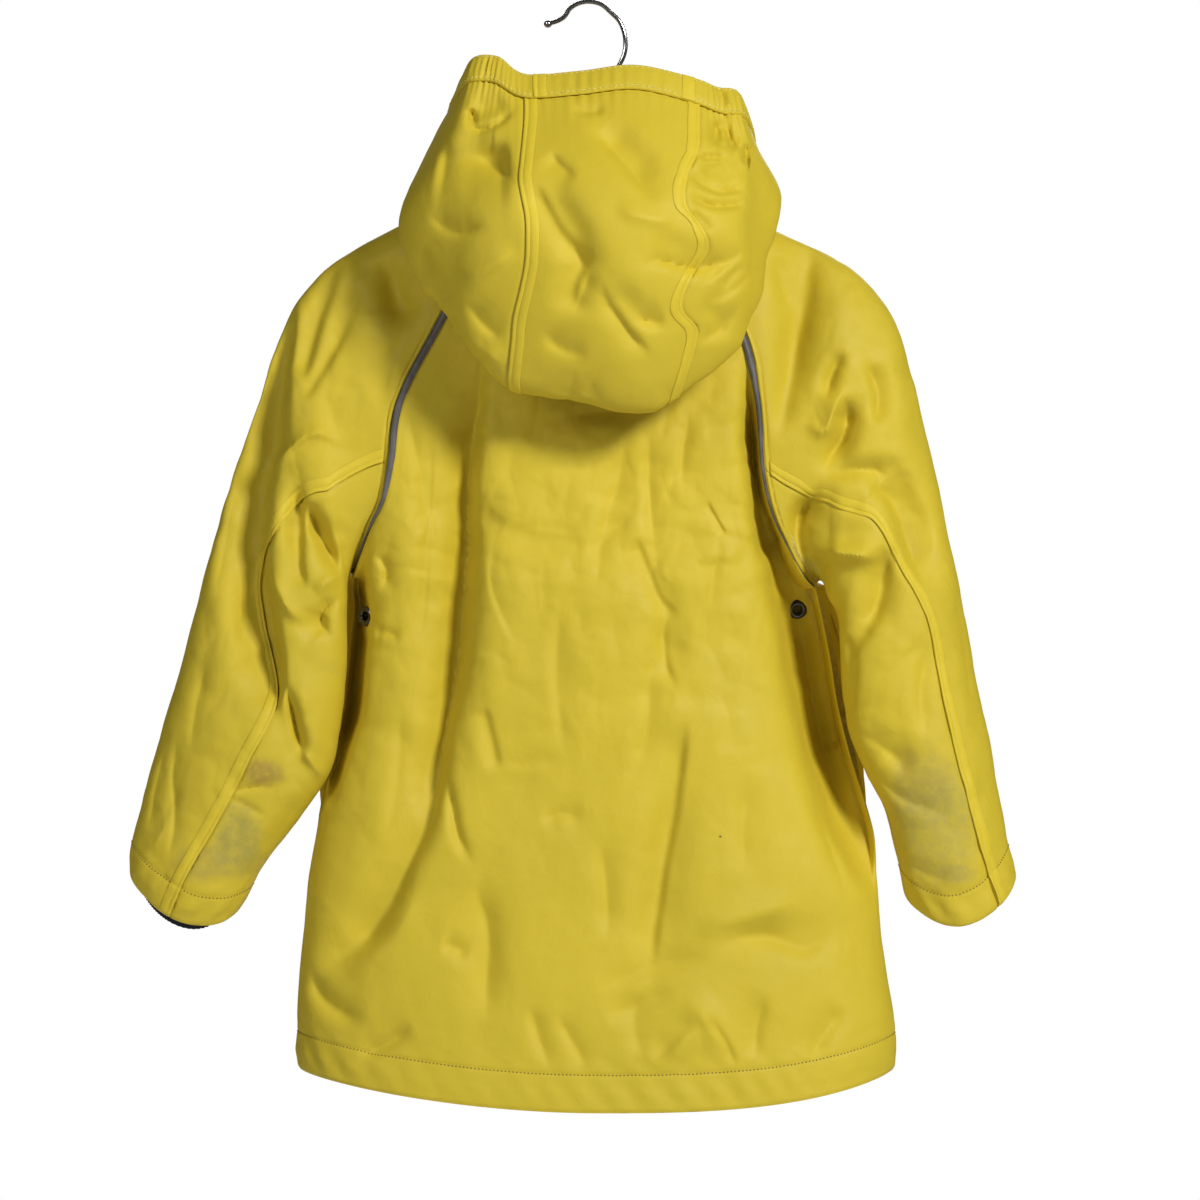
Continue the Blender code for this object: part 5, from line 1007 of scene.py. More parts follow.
def hood_cloth(which):
    first, last = HOOD_SPANS[which]
    share = np.linspace(0, 1, fewer(HOOD_STEPS[which]) + 1)
    foot = casing_foot(mix(HOOD_SEAMS.get(first, first), HOOD_SEAMS.get(last, last), share))[None, :]
    rows = spread(0.0, (0.55, 102), (1.0, 42))[:, None]
    v = np.concatenate([foot * np.linspace(0, 1, 7)[:-1, None], mix(foot, 1.0, rows)])
    u = mix(hood_edge(first, v), hood_edge(last, v), share)
    grid = hood(u, v)
    down = from_edge(grid, "top")
    foot_down = down[6][None, :]
    relief = gathers(u, down - foot_down) * np.clip(down / 10, 0, 1) * fade((v - 0.35) / 0.25)
    relief -= ROLL_DEPTH * bell(down, foot_down, 1.4)
    ends = {"left": first, "right": last}
    relief -= seam_roll(grid, [edge for edge, end in ends.items() if end in HOOD_SEAMS])
    small = ripple(grid, 12) + 0.8 * crumple(grid, 12)
    small -= 1.5 * small_creases(grid, 61) + small_creases(grid, 62, scale=2.2)
    relief += small * np.clip(down / TOP_CALM, 0, 1) * fade((0.62 - v) / 0.2)
    return raised(grid, evened(facing(grid, 1)), relief)


# ---- Meshes -------------------------------------------------------------------------------
def stand_in(piece, node):
    """Hides the node that a piece takes the place of."""
    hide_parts(node)
    return piece


def mesh_piece(name, points, faces, *materials, second=()):
    """A smooth mesh piece that rides on the part. The faces in second take the second material."""
    mesh = bpy.data.meshes.new(name)
    mesh.from_pydata((points.reshape(-1, 3) * MM).tolist(), [], faces)
    for material in materials:
        mesh.materials.append(material)
    for number in second:
        mesh.polygons[number].material_index = 1
    mesh.shade_smooth()
    mesh.set_sharp_from_angle(angle=SHARP_ANGLE)
    thing = bpy.data.objects.new(name, mesh)
    bpy.context.scene.collection.objects.link(thing)
    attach(thing, "root")
    return thing


def numbered(grid, first=0):
    """The number of each point of a grid, counted row by row."""
    rows, cols = grid.shape[:2]
    return first + np.arange(rows * cols).reshape(rows, cols)


def cells(place, points, without):
    """The four-sided faces of a grid, apart from those near the spots that are left out."""
    quads = np.stack([place[:-1, :-1], place[1:, :-1], place[1:, 1:], place[:-1, 1:]], axis=-1)
    centre = (points[:-1, :-1] + points[1:, 1:]) / 2
    keep = np.ones(quads.shape[:2], bool)
    for spot, radius in without:
        keep &= np.linalg.norm(centre - spot, axis=-1) > radius
    return quads[keep].tolist()


def around_edge(place):
    return np.concatenate([place[0, :-1], place[:-1, -1], place[-1, :0:-1], place[:0:-1, 0]]).tolist()


def sunk_near(outer, ways, reach):
    """How far the cloth within a few grid steps of each point lies below it."""
    deepest = np.zeros(outer.shape[:2])
    rows, cols = (np.arange(size) for size in outer.shape[:2])
    for down in range(-reach, reach + 1):
        for across in range(-reach, reach + 1):
            beside = outer[np.clip(rows + down, 0, rows[-1])][:, np.clip(cols + across, 0, cols[-1])]
            deepest = np.maximum(deepest, ((outer - beside) * ways).sum(axis=-1))
    return deepest


def cloth_shell(name, outer, ways, wall, outward, *materials, without=()):
    """A closed sheet between its outer points and the same points moved in by its thickness."""
    rows, cols = outer.shape[:2]
    stride = INNER_STRIDE if (rows - 1) % INNER_STRIDE == 0 and (cols - 1) % INNER_STRIDE == 0 else 1
    inner = outer - ways * np.broadcast_to(wall, (rows, cols))[..., None]
    if stride > 1:
        inner -= ways * sunk_near(outer, ways, stride + 1)[..., None]
    inner = inner[::stride, ::stride]
    place, inner_place = numbered(outer), numbered(inner, rows * cols)
    quads = cells(place, outer, without)
    inner_without = [(spot, radius + stride) for spot, radius in without]
    inner_quads = [face[::-1] for face in cells(inner_place, inner, inner_without)]
    rim, inner_rim = around_edge(place), around_edge(inner_place)
    rim, inner_rim = rim + rim[:1], inner_rim + inner_rim[:1]
    sides = []
    for number in range(len(inner_rim) - 1):
        run = rim[number * stride:(number + 1) * stride + 1]
        sides.append(run + [inner_rim[number + 1], inner_rim[number]])
    faces = [face[::outward] for face in quads + inner_quads + sides]
    second = range(len(quads), len(quads) + len(inner_quads)) if len(materials) > 1 else ()
    points = np.concatenate([outer.reshape(-1, 3), inner.reshape(-1, 3)])
    return mesh_piece(name, points, faces, *materials, second=second)


def patch_on(name, base, ways, heights, outward, material):
    """What lies on a panel: its points moved out, with a height for each column and a flat back."""
    outer = base + ways * (LIFT + np.broadcast_to(heights, base.shape[:2]))[..., None]
    return cloth_shell(name, outer, ways, heights, outward, material)


def capped(place):
    """The faces of a solid through rings of points, capped at both ends."""
    beside = np.roll(place, -1, axis=1)
    quads = np.stack([place[:-1], place[1:], beside[1:], beside[:-1]], axis=-1).reshape(-1, 4)
    return quads.tolist() + [place[0].tolist(), place[-1][::-1].tolist()]


def wrapped(name, points, material):
    """A mesh piece whose grid of points runs on from its last row and column to the first."""
    place = numbered(points)
    down = np.roll(place, -1, axis=0)
    quads = np.stack([place, down, np.roll(down, -1, axis=1), np.roll(place, -1, axis=1)], axis=-1)
    return mesh_piece(name, points, quads.reshape(-1, 4).tolist(), material)


def turned(name, profile, base, way, sides, material):
    """A shape turned round a direction from a closed profile of (radius, height) points."""
    side = unit(np.cross(way, (0.0, 0.0, 1.0)))
    up = np.cross(side, way)
    angles = np.linspace(0, CIRCLE, sides, endpoint=False)[:, None, None]
    radius, height = np.array(profile).T[:, None, :, None]
    points = base + (side * np.cos(angles) + up * np.sin(angles)) * radius + way * height
    return wrapped(name, points, material)


def stitches(name, path, ways, size, material, sink=0.0):
    """A row of thread stitches along a path: each is a small faceted spindle lying on the cloth."""
    pitch, length, radius = size
    run = run_along(path)
    starts = np.arange(pitch / 2, run[-1] - length, pitch)
    begin, end, way = (
        np.stack([np.interp(at, run, line[:, axis]) for axis in range(3)], axis=-1)[:, None, None]
        for at, line in ((starts, path), (starts + length, path), (starts, ways))
    )
    way = unit(way)
    across = unit(np.cross(end - begin, way))
    share, wide = np.array(STITCH_RINGS).T[:, None, :, None, None]
    angle = np.linspace(0, CIRCLE, STITCH_SIDES, endpoint=False)[:, None]
    centre = begin + (end - begin) * share + way * (radius * 0.5 * wide - sink)
    points = centre + (across * np.cos(angle) + way * np.sin(angle)) * radius * wide
    faces = []
    for place in np.arange(points[..., 0].size).reshape(points.shape[:3]):
        faces += [face[:1] + face[:0:-1] for face in capped(place)]
    return mesh_piece(name, points, faces, material)


def cut_size(grid):
    """Width, length and area of a panel laid flat, in metres, read along its own rows and columns."""
    width = from_edge(grid, "left")[:, -1].max() * MM
    length = from_edge(grid, "top")[-1].max() * MM
    corners = (grid[1:, :-1], grid[1:, 1:], grid[:-1, 1:])
    down, slant, across = (corner - grid[:-1, :-1] for corner in corners)
    area = sum(np.linalg.norm(np.cross(*legs), axis=-1).sum() for legs in ((down, slant), (slant, across)))
    area *= MM * MM / 2
    return width, length, min(max(area, 0.3 * width * length), width * length)


def declare(piece, grid):
    width, length, area = cut_size(grid)


# ---- Materials ----------------------------------------------------------------------------
class Nodes:
    """Short ways to add and link shader nodes of one material."""

    def __init__(self, name):
        self.material = bpy.data.materials.new(name)
        self.material.use_nodes = True
        self.tree = self.material.node_tree
        self.place = self.add("ShaderNodeTexCoord").outputs["Object"]

    def add(self, kind, inputs=(), **settings):
        """A new node, with what its inputs are linked or set to."""
        node = self.tree.nodes.new(kind)
        for key, value in settings.items():
            setattr(node, key, value)
        for key, value in dict(inputs).items():
            self.link(value, node.inputs[key])
        return node

    def link(self, source, target):
        if isinstance(source, (int, float, tuple)):
            target.default_value = source
        else:
            self.tree.links.new(source, target)

    def shade(self, **sockets):
        """Links or sets sockets of the shader, whose names have spaces for underscores."""
        for name, source in sockets.items():
            self.link(source, self.tree.nodes["Principled BSDF"].inputs[name.replace("_", " ")])

    def math(self, operation, first, second):
        return self.add("ShaderNodeMath", {0: first, 1: second}, operation=operation).outputs[0]

    def mapped(self, **inputs):
        return self.add("ShaderNodeMapping", {"Vector": self.place, **inputs}).outputs[0]

    def noise(self, scale, detail=3.0, roughness=0.5, stretch=(1.0, 1.0, 1.0), distortion=0.0):
        inputs = {"Vector": self.mapped(Scale=stretch), "Scale": scale, "Detail": detail}
        inputs |= {"Roughness": roughness, "Distortion": distortion}
        return self.add("ShaderNodeTexNoise", inputs).outputs["Fac"]

    def between(self, value, low, high, first=0.0, second=1.0):
        """Maps low..high to first..second, smoothly and clamped."""
        inputs = {"Value": value, "From Min": low, "From Max": high, "To Min": first, "To Max": second}
        return self.add("ShaderNodeMapRange", inputs, interpolation_type="SMOOTHSTEP").outputs[0]

    def mix(self, share, first, second):
        """A mix of two colours, each another node's output or three or four numbers."""
        inputs = {0: share}
        for socket, colour in ((6, first), (7, second)):
            inputs[socket] = (*colour, 1.0) if isinstance(colour, tuple) and len(colour) == 3 else colour
        return self.add("ShaderNodeMix", inputs, data_type="RGBA").outputs[2]

    def blot(self, centre, radii):
        """1 inside a soft ragged blot on the back cloth at (x, z), and 0 outside; lengths in millimetres."""
        (x, z), (wide, high), (end, soft) = centre, radii, BLOT_EDGE
        scale = (1 / (MM * wide), 0.0, 1 / (MM * high))
        spot = self.mapped(Location=(-x / wide, 0.0, -z / high), Scale=scale)
        length = self.add("ShaderNodeVectorMath", {0: spot}, operation="LENGTH").outputs["Value"]
        ragged = self.math("ADD", length, self.math("MULTIPLY", self.noise(70, 5, 0.6), 0.9))
        depth = self.add("ShaderNodeSeparateXYZ", {0: self.place}).outputs["Y"]
        behind = self.between(depth, -0.012, 0.004, 1.0, 0.0)
        return self.math("MULTIPLY", self.between(ragged, end - soft, end + soft, 1.0, 0.0), behind)

    def relief(self, height, distance, strength, **below):
        inputs = {"Distance": distance, "Strength": strength, "Height": height, **below}
        return self.add("ShaderNodeBump", inputs).outputs["Normal"]


def coated_cloth(name, stains=(), tone=1.0, grime=0.0):
    """Yellow coated cloth: a satin skin over a fine weave, faintly mottled, with its stains."""
    cloth = Nodes(name)
    lit, worn = (tuple(tone * part for part in colour) for colour in (CLOTH_COLOUR, CLOTH_WORN))
    patches = cloth.between(cloth.noise(7.0, 4, 0.55), 0.35, 0.68)
    mottle = cloth.between(cloth.noise(55.0, 5, 0.6), 0.3, 0.75)
    colour = cloth.mix(cloth.math("MULTIPLY", patches, 0.55), lit, worn)
    colour = cloth.mix(cloth.math("MULTIPLY", mottle, 0.16), colour, worn)
    if grime:
        dust = cloth.between(cloth.noise(24.0, 8, 0.7, distortion=0.6), 0.5, 0.78)
        colour = cloth.mix(cloth.math("MULTIPLY", dust, grime), colour, GRIME_COLOUR)
    for centre, radii, stain, strength in stains:
        broken = cloth.between(cloth.noise(160.0, 6, 0.7), 0.3, 0.62, 0.45, 1.0)
        share = cloth.math("MULTIPLY", cloth.blot(centre, radii), broken)
        colour = cloth.mix(cloth.math("MULTIPLY", share, strength), colour, stain)
    rough = cloth.between(cloth.noise(30.0, 4, 0.6), 0.3, 0.7, 0.58, 0.70)
    warp = cloth.noise(900.0, 2, 0.5, stretch=(1.0, 1.0, 0.35))
    weft = cloth.noise(900.0, 2, 0.5, stretch=(0.35, 0.35, 1.0))
    weave = cloth.relief(cloth.math("ADD", warp, weft), 0.00012, 0.35)
    rumple = cloth.relief(cloth.noise(46.0, 3, 0.5, distortion=0.5), 0.0022, 0.34, Normal=weave)
    cloth.shade(Base_Color=colour, Roughness=rough, Specular_IOR_Level=0.34, Normal=rumple)
    return cloth.material


def mottled(name, grain, span, first, second, rough, bump=None, **sockets):
    """A material of two colours mixed by noise, with one roughness or a pair that goes with them.

    grain and bump's first are what noise takes; span is what the noise is mapped from, if anything.
    """
    made = Nodes(name)
    share = made.noise(*grain)
    share = made.between(share, *span) if span else share
    rough = made.between(share, 0.0, 1.0, *rough) if isinstance(rough, tuple) else rough
    made.shade(Base_Color=made.mix(share, first, second), Roughness=rough, **sockets)
    if bump:
        made.shade(Normal=made.relief(made.noise(*bump[0]), *bump[1:]))
    return made.material


def reflective_tape():
    tape = Nodes("reflective piping")
    beads = tape.noise(1400.0, 2, 0.6)
    worn = tape.between(tape.noise(60.0, 5, 0.6), 0.35, 0.7)
    colour = tape.mix(worn, (0.085, 0.078, 0.074), (0.14, 0.13, 0.125))
    rough = tape.between(beads, 0.3, 0.7, 0.42, 0.62)
    tape.shade(Base_Color=colour, Roughness=rough, Normal=tape.relief(beads, 0.0002, 0.5))
    return tape.material


def thread(name, colour):
    dark = tuple(part * 0.7 for part in colour)
    return mottled(name, (2200.0, 1, 0.5, (1.0, 1.0, 0.4)), None, dark, colour, 0.6)


def cloth_back():
    """The knitted inside of the coated cloth, matt and a little paler."""
    pale, paler = (0.50, 0.38, 0.07), (0.62, 0.50, 0.14)
    return mottled("cloth back", (300.0, 4, 0.6), (0.3, 0.7), pale, paler, 0.85, ((700.0, 2), 0.0003, 0.5))


def cuff_knit():
    dark, fluff = (0.008, 0.009, 0.014), (0.024, 0.026, 0.036)
    loops = ((1300.0, 2, 0.5, (1.0, 1.0, 2.4)), 0.0004, 0.7)
    return mottled("cuff knit", (900.0, 4, 0.7), (0.3, 0.7), dark, fluff, 0.92, loops)


def lacquer():
    black, rubbed = (0.006, 0.006, 0.007), (0.03, 0.028, 0.024)
    return mottled("black lacquer", (800.0, 4, 0.6), (0.45, 0.75), black, rubbed, (0.12, 0.3),
                   Coat_Weight=0.6, Coat_Roughness=0.08)


def chrome():
    bright, worn = (0.62, 0.62, 0.63), (0.42, 0.42, 0.43)
    return mottled("chromed wire", (500.0, 5, 0.6), (0.4, 0.75), bright, worn, (0.12, 0.26), Metallic=1.0)


def moulded_plastic():
    dark, speck = (0.022, 0.022, 0.024), (0.035, 0.035, 0.037)
    grain = ((1500.0, 2), 0.00008, 0.4)
    return mottled("black hanger plastic", (400.0, 3, 0.6), (0.3, 0.7), dark, speck, 0.48, grain)


# ---- Reading points off the finished cloth ------------------------------------------------
def on_grid(grid, ways, x, z):
    """The point over a grid nearest to (x, z), seen from behind, and the cloth's direction round it."""
    place = np.unravel_index(np.argmin((grid[..., 0] - x) ** 2 + (grid[..., 2] - z) ** 2), grid.shape[:2])
    middle = grid[place]
    near = np.linalg.norm(grid - middle, axis=-1) < 9
    way = unit(ways[near].mean(axis=0) + (0.0, -EYELET_TURN, 0.0))
    return middle + way * (((grid[near] - middle) @ way).mean() + EYELET_LIFT), way


def at_distances(grid, ways, edge, distances):
    """Lines on the cloth at distances in from one edge of its grid, one column for each distance."""
    arrays = (from_edge(grid, edge), grid, ways)
    away, grid, ways = (from_top(array, edge).swapaxes(0, 1) for array in arrays)
    picks = np.clip([np.searchsorted(run, distances) for run in away], 1, away.shape[1] - 1)
    row = np.arange(len(away))[:, None]
    low, high = away[row, picks - 1], away[row, picks]
    share = np.clip((distances - low) / np.maximum(high - low, 1e-9), 0, 1)[..., None]
    line, way = (mix(array[row, picks - 1], array[row, picks], share) for array in (grid, ways))
    return line, unit(way)


def strip_on(name, grid, ways, edge, rows, outward, material):
    """A lapped seam strip along an edge of a panel, with a groove near its seam side."""
    line, way = at_distances(grid, ways, edge, STRIP_MARKS * STRIP_WIDTH)
    way = mix(way, way[:, -2:-1], 0.5)
    line = line + way * (ROLL_DEPTH * bell(STRIP_MARKS * STRIP_WIDTH, 0, ROLL_WIDTH)[None, :, None])
    turn = -SIDES[edge]
    return patch_on(name, line[rows, ::turn], way[rows, ::turn], STRIP_HEIGHTS[::turn], outward, material)


# ---- The coat -----------------------------------------------------------------------------
def make_panels(cloth, inside):
    """Every panel, with the grid of its finished outer face kept by name."""
    grids = {"back_panel": back_cloth()}
    for side in SIDES:
        grids[f"front_{side}"] = front_cloth(side)
        for part in ("top", "under"):
            grids[f"sleeve_{side}_{part}"] = sleeve_cloth(side, part)
    for which in HOOD_SPANS:
        grids[f"hood_{which}"] = hood_cloth(which)
    spots = {side: on_grid(*grids["back_panel"], *place) for side, place in EYELETS.items()}
    pieces = {}
    for name, (grid, ways) in grids.items():
        without = [(point, EYELET_CUT) for point, _ in spots.values()] if name == "back_panel" else ()
        panel = cloth.get(name, cloth["plain"])
        piece = cloth_shell(f"{name}_cloth", grid, ways, WALL, outward_of(name), panel, inside,
                            without=without)
        pieces[name] = stand_in(piece, name)
    return grids, pieces, spots


def make_strips(grids, extras, cloth):
    """The lapped strips of the hood and down the back of each sleeve."""
    start, end = STRIP_ROWS
    centre, centre_ways = grids["hood_centre"]
    for side in SIDES:
        rows = slice(start, int(len(centre) * end))
        strip = strip_on(f"hood_strip_{side}", centre, centre_ways, side, rows, 1, cloth)
        extras["hood_centre"].append(stand_in(strip, f"hood_seam_{side}"))
        name = f"sleeve_{side}_top"
        grid, ways = grids[name]
        rows = slice(int(np.searchsorted(from_edge(grid, "top")[:, 0], STRIP_START)), -1)
        strip = strip_on(f"sleeve_strip_{side}", grid, ways, "left", rows, outward_of(name), cloth)
        extras[name].append(stand_in(strip, f"sleeve_seam_{side}"))


def make_casing(cloth, strip_cloth, stitch_thread):
    """The gathered casing round the hood's face edge, the strips' ends on it, and its stitches."""
    steps = fewer(CASING_STEPS)
    u = np.linspace(0.0006, 0.9994, steps + 1)
    share = np.linspace(0, 1, CASING_LINES)[:, None]
    base = hood(u, casing_foot(u) * share)
    ways = facing(base, 1)
    heights = CASING_HEIGHT * np.clip(np.minimum(share, 1 - share) / 0.06 + 0.35, 0, 1)
    arch = np.sin(math.pi * share)
    heights = heights + CASING_PUFF * arch ** 0.7 + gathers(u, 0.0) * arch ** 0.6
    heights += 0.35 * np.sin(CIRCLE * 140 * u + 3 * np.sin(23 * u)) * bell(share, 1, 0.25)
    heights -= 0.4 * bell(share, 0.86, 0.035) + 0.3 * bell(share, 0.14, 0.03)           # at the stitches
    heights = np.maximum(heights, 0.5)
    piece = patch_on("hood_casing_cloth", base, ways, heights, 1, cloth)
    top = base + ways * (LIFT + heights)[..., None]
    for name, line in CASING_STITCHES.items():
        row = stitches(f"casing_{name}_stitches", top[line], ways[line], CASING_STITCH, stitch_thread)
    for side, seam in HOOD_SEAMS.items():
        turn = -SIDES[side]
        line, way = top[:, ::turn], ways[:, ::turn]
        start = int(np.searchsorted(u, seam + CASING_JOG[side]))
        run = run_along(line[CASING_LINES // 2])
        marks = run[start if turn > 0 else steps - start] + STRIP_MARKS * STRIP_WIDTH
        picks = np.interp(marks, run, np.arange(steps + 1))
        low = np.clip(picks.astype(int), 0, steps - 1)
        line = mix(line[:, low], line[:, low + 1], (picks - low)[None, :, None])[:, ::turn]
        way, profile = way[:, low][:, ::turn], 0.8 * STRIP_HEIGHTS[::turn]
        patch_on(f"casing_strip_{side}", line, way, profile, 1, strip_cloth)
    declare(stand_in(piece, "hood_casing"), top)


def make_piping(grids, extras, tape):
    """The reflective piping: a rounded cord of tape in the back raglan seam."""
    grid, ways = grids["back_panel"]
    rows = slice(PIPING_START, int(np.searchsorted(from_edge(grid, "top")[:, 0], PIPING_LENGTH)))
    marks = np.linspace(0, 1, PIPING_LINES)
    heights = PIPING_HEIGHT * np.sin(math.pi * (0.1 + 0.8 * marks)) ** 0.8
    for side in SIDES:
        line, way = at_distances(grid, ways, side, marks * PIPING_WIDTH)
        way = mix(way, way[:, PIPING_LINES // 2, None], 0.7)
        turn = -SIDES[side]
        line, way = line[rows, ::turn], way[rows, ::turn]
        piece = patch_on(f"piping_tape_{side}", line, way, heights[::turn], 1, tape)
        extras["back_panel"].append(stand_in(piece, f"piping_{side}"))


def make_cuffs(knit):
    """The ribbed inner cuffs, sewn inside the sleeves."""
    around = np.linspace(0, 1, fewer(CUFF_STEPS) + 1)[:-1]
    rows = np.arange(CUFF_ROWS)
    inset = np.interp(rows, *CUFF_INSET)[:, None]
    ribs = RIB_HEIGHT * np.sin(CIRCLE * CUFF_RIBS * around) * np.clip(rows / 3, 0, 1)[:, None]
    for side, reach in CUFF_REACH.items():
        ring = sleeve(side, np.linspace(CUFF_START, 1.0, CUFF_ROWS)[:, None], around)
        ways = facing(np.concatenate([ring, ring[:, :1]], axis=1), SIDES[side])[:, :-1]
        ring[-1] += unit(ring[-1] - ring[-2]) * reach
        ways[-1] = ways[-2]
        outer = ring - ways * (inset - ribs)[..., None]
        inner = ring - ways * (inset + CUFF_WALL)[..., None]
        rings = np.concatenate([outer, inner[::-1]])[:, ::SIDES[side]]
        piece = stand_in(wrapped(f"inner_cuff_knit_{side}", rings, knit), f"inner_cuff_{side}")
        whole = np.concatenate([outer, outer[:, :1]], axis=1)
        declare(piece, whole)


def make_placket(grids, cloth, stitch_thread, metal):
    """The fly over the front opening, its stitches and its press studs."""
    marks = np.linspace(0, PLACKET_HALF_WIDTH, PLACKET_LINES)
    left = at_distances(*grids["front_left"], "right", marks[::-1])
    right = at_distances(*grids["front_right"], "right", marks)
    rows = slice(PLACKET_ENDS, -PLACKET_ENDS)
    base, ways = (np.concatenate([one, other[:, 1:]], axis=1)[rows] for one, other in zip(left, right))
    across = np.abs(np.linspace(-1, 1, base.shape[1]))
    heights = PLACKET_HEIGHT * (1 - 0.5 * bell(across, 1, 0.05)) - 0.35 * bell(across, 0.82, 0.04)
    piece = stand_in(patch_on("placket_cloth", base, ways, heights, -1, cloth), "placket")
    top = base + ways * (LIFT + heights)[..., None]
    for side, line in PLACKET_STITCHES.items():
        name = f"placket_stitches_{side}"
        row = stitches(name, top[:, line], ways[:, line], PLACKET_STITCH, stitch_thread)
    middle, middle_ways = top[:, len(across) // 2], ways[:, len(across) // 2]
    for number in range(1, STUD_COUNT + 1):
        low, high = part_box(f"press_stud_{number}")
        row = int(np.argmin(np.abs(middle[:, 2] - (low.z + high.z) / 2 / MM)))
        way = unit(middle_ways[row])
        stud = turned(f"stud_cap_{number}", STUD_PROFILE, middle[row], way, STUD_SIDES, metal)
        stand_in(stud, f"press_stud_{number}")
    declare(piece, base)


def make_eyelets(spots, extras, metal):
    for side, (point, way) in spots.items():
        ring = turned(f"eyelet_ring_{side}", EYELET_PROFILE, point, way, EYELET_SIDES, metal)
        extras["back_panel"].append(stand_in(ring, f"eyelet_{side}"))


def make_edge_stitches(grids, extras, stitch_thread):
    """The rows of stitches of the hem and the cuffs."""
    for name, (grid, ways) in grids.items():
        if not name.startswith("hood"):
            turn = CUFF_TURN if name.startswith("sleeve") else HEM_TURN
            line, way = (array[:, 0] for array in at_distances(grid, ways, "bottom", np.array([turn])))
            row = stitches(f"{name}_stitches", line, way, EDGE_STITCH, stitch_thread, sink=EDGE_SINK)
            extras[name].append(row)


# ---- The hanger ---------------------------------------------------------------------------
def ring_round(centre, ahead, sides, wide, deep):
    """An oval ring of points round a path in the XZ plane: wide in that plane, deep along Y."""
    angles = np.linspace(0, CIRCLE, sides, endpoint=False)[:, None]
    out = np.array([-ahead[2], 0.0, ahead[0]])
    return centre + out * np.cos(angles) * wide + np.array([0.0, 1.0, 0.0]) * np.sin(angles) * deep


def bar(name, rings, material):
    rings = np.array(rings)
    return mesh_piece(name, rings, capped(numbered(rings)), material)


def make_hanger(plastic, metal):
    """The bar under the shoulders and the bent wire with a ball on its tip."""
    arms = {}
    for side, sign in SIDES.items():
        shoulder = sleeve(side, np.linspace(0.03, 0.4, 40), TOP)
        shoulder = shoulder[np.abs(shoulder[:, 0]) < HANGER_REACH] - (0.0, 0.0, WALL + HANGER_CLEARANCE)
        arms[side] = np.concatenate([[(sign * x, 0.0, z) for x, z in HANGER_TOP], shoulder])
    line = fine_path(np.concatenate([arms["left"][:0:-1], arms["right"]]), HANGER_RINGS)
    from_end = np.minimum(np.arange(HANGER_RINGS), np.arange(HANGER_RINGS)[::-1])
    rings = []
    for point, way, end in zip(line, unit(np.gradient(line, axis=0)), np.interp(from_end, *HANGER_ENDS)):
        centre = point - np.array([-way[2], 0.0, way[0]]) * HANGER_HEIGHT / 2
        wide, deep = end * HANGER_HEIGHT / 2, end * HANGER_HALF_WIDTH
        rings.append(ring_round(centre, way, HANGER_SIDES, wide, deep))
    stand_in(bar("hanger_bar", rings, plastic), "hanger_arms")
    line = fine_path(np.array([(x, 0.0, z) for x, z in HOOK_PATH]), HOOK_RINGS)
    ahead = unit(np.gradient(line, axis=0))
    rings = [ring_round(point, way, HOOK_SIDES, HOOK_WIRE, HOOK_WIRE) for point, way in zip(line, ahead)]
    for angle in np.linspace(TIP_START, TIP_END, TIP_RINGS):
        centre = line[-1] + ahead[-1] * HOOK_TIP * (math.cos(TIP_START) - math.cos(angle))
        wide = HOOK_TIP * math.sin(angle)
        rings.append(ring_round(centre, ahead[-1], HOOK_SIDES, wide, wide))
    stand_in(bar("hook_wire", rings, metal), "hanger_hook")


# ---- Light, floor and camera --------------------------------------------------------------
def place_in_scene(name, data):
    thing = bpy.data.objects.new(name, data)
    bpy.context.scene.collection.objects.link(thing)
    return thing


def soft_light(name, place, side, power):
    data = bpy.data.lights.new(name, "AREA")
    data.shape = "RECTANGLE"
    data.size = data.size_y = side
    data.energy = power
    lamp = place_in_scene(name, data)
    lamp.location = place
    lamp.rotation_mode = "QUATERNION"
    lamp.rotation_quaternion = (Vector(LIGHT_AIM) - Vector(place)).to_track_quat("-Z", "Y")


def light_world():
    """A plain white surround, which lights the coat only a little."""
    world = bpy.data.worlds.new("studio")
    world.use_nodes = True
    tree = world.node_tree
    tree.nodes["Background"].inputs["Color"].default_value = (1.0, 1.0, 1.0, 1.0)
    strength = tree.nodes.new("ShaderNodeMapRange")
    strength.inputs["To Min"].default_value = WORLD_LIGHT
    strength.inputs["To Max"].default_value = WORLD_SEEN
    tree.links.new(tree.nodes.new("ShaderNodeLightPath").outputs["Is Camera Ray"], strength.inputs["Value"])
    tree.links.new(strength.outputs[0], tree.nodes["Background"].inputs["Strength"])
    bpy.context.scene.world = world


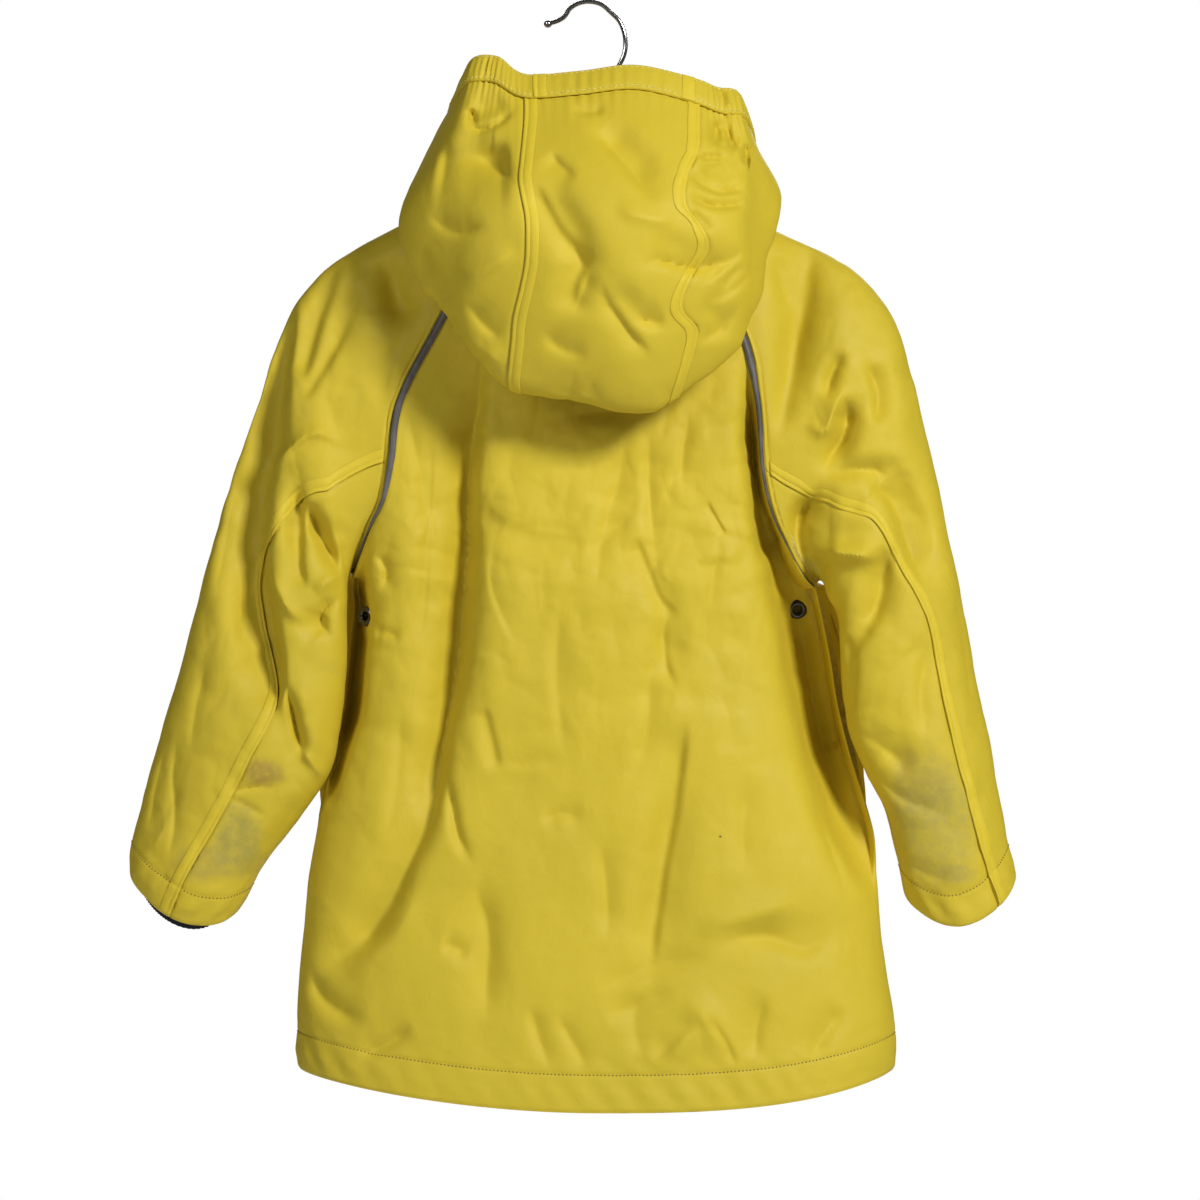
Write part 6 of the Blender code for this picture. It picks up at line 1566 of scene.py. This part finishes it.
def make_studio():
    scene = bpy.context.scene
    scene.view_settings.view_transform = "Standard"
    scene.view_settings.look = "None"
    light_world()
    for light in LIGHTS:
        soft_light(*light)
    mesh = bpy.data.meshes.new("floor")
    around = ((-1, -1), (1, -1), (1, 1), (-1, 1))
    corners = [(x * FLOOR_REACH, y * FLOOR_REACH, FLOOR_HEIGHT) for x, y in around]
    mesh.from_pydata(corners, [], [(0, 1, 2, 3)])
    mesh.materials.append(mottled("pale floor", (3.0, 3), None, (0.86, 0.86, 0.86), (0.9, 0.9, 0.9), 0.9))
    place_in_scene("floor", mesh)
    lens = bpy.data.cameras.new("camera")
    lens.sensor_width = SENSOR
    lens.lens = SENSOR * CAMERA_DISTANCE / (PICTURE_SIDE * PICTURE_SCALE)
    lens.clip_end = 100
    camera = place_in_scene("camera", lens)
    camera.location = (VIEW_CENTRE[0] * MM, -CAMERA_DISTANCE * MM, VIEW_CENTRE[1] * MM)
    camera.rotation_euler = (math.pi / 2, 0, 0)
    scene.camera = camera


def main():
    make_studio()
    inside = cloth_back()
    stitch_thread = thread("ochre thread", (0.30, 0.21, 0.03))
    pale_thread = thread("pale yellow thread", (0.86, 0.76, 0.22))
    plain = coated_cloth("coated cloth", BACK_STAINS)
    strips = coated_cloth("lapped strips", tone=1.1)
    cloth = {"plain": plain}
    for side, stains in SLEEVE_STAINS.items():
        dirty = coated_cloth(f"coated cloth {side} sleeve", stains, grime=0.12)
        cloth |= {f"sleeve_{side}_top": dirty, f"sleeve_{side}_under": dirty}
    grids, pieces, spots = make_panels(cloth, inside)
    extras = {name: [] for name in pieces}
    make_strips(grids, extras, strips)
    metal = lacquer()
    make_piping(grids, extras, reflective_tape())
    make_eyelets(spots, extras, metal)
    make_edge_stitches(grids, extras, stitch_thread)
    for name, piece in pieces.items():
        declare(piece, grids[name][0])
    make_casing(plain, strips, pale_thread)
    make_placket(grids, plain, stitch_thread, metal)
    make_cuffs(cuff_knit())
    make_hanger(moulded_plastic(), chrome())


main()
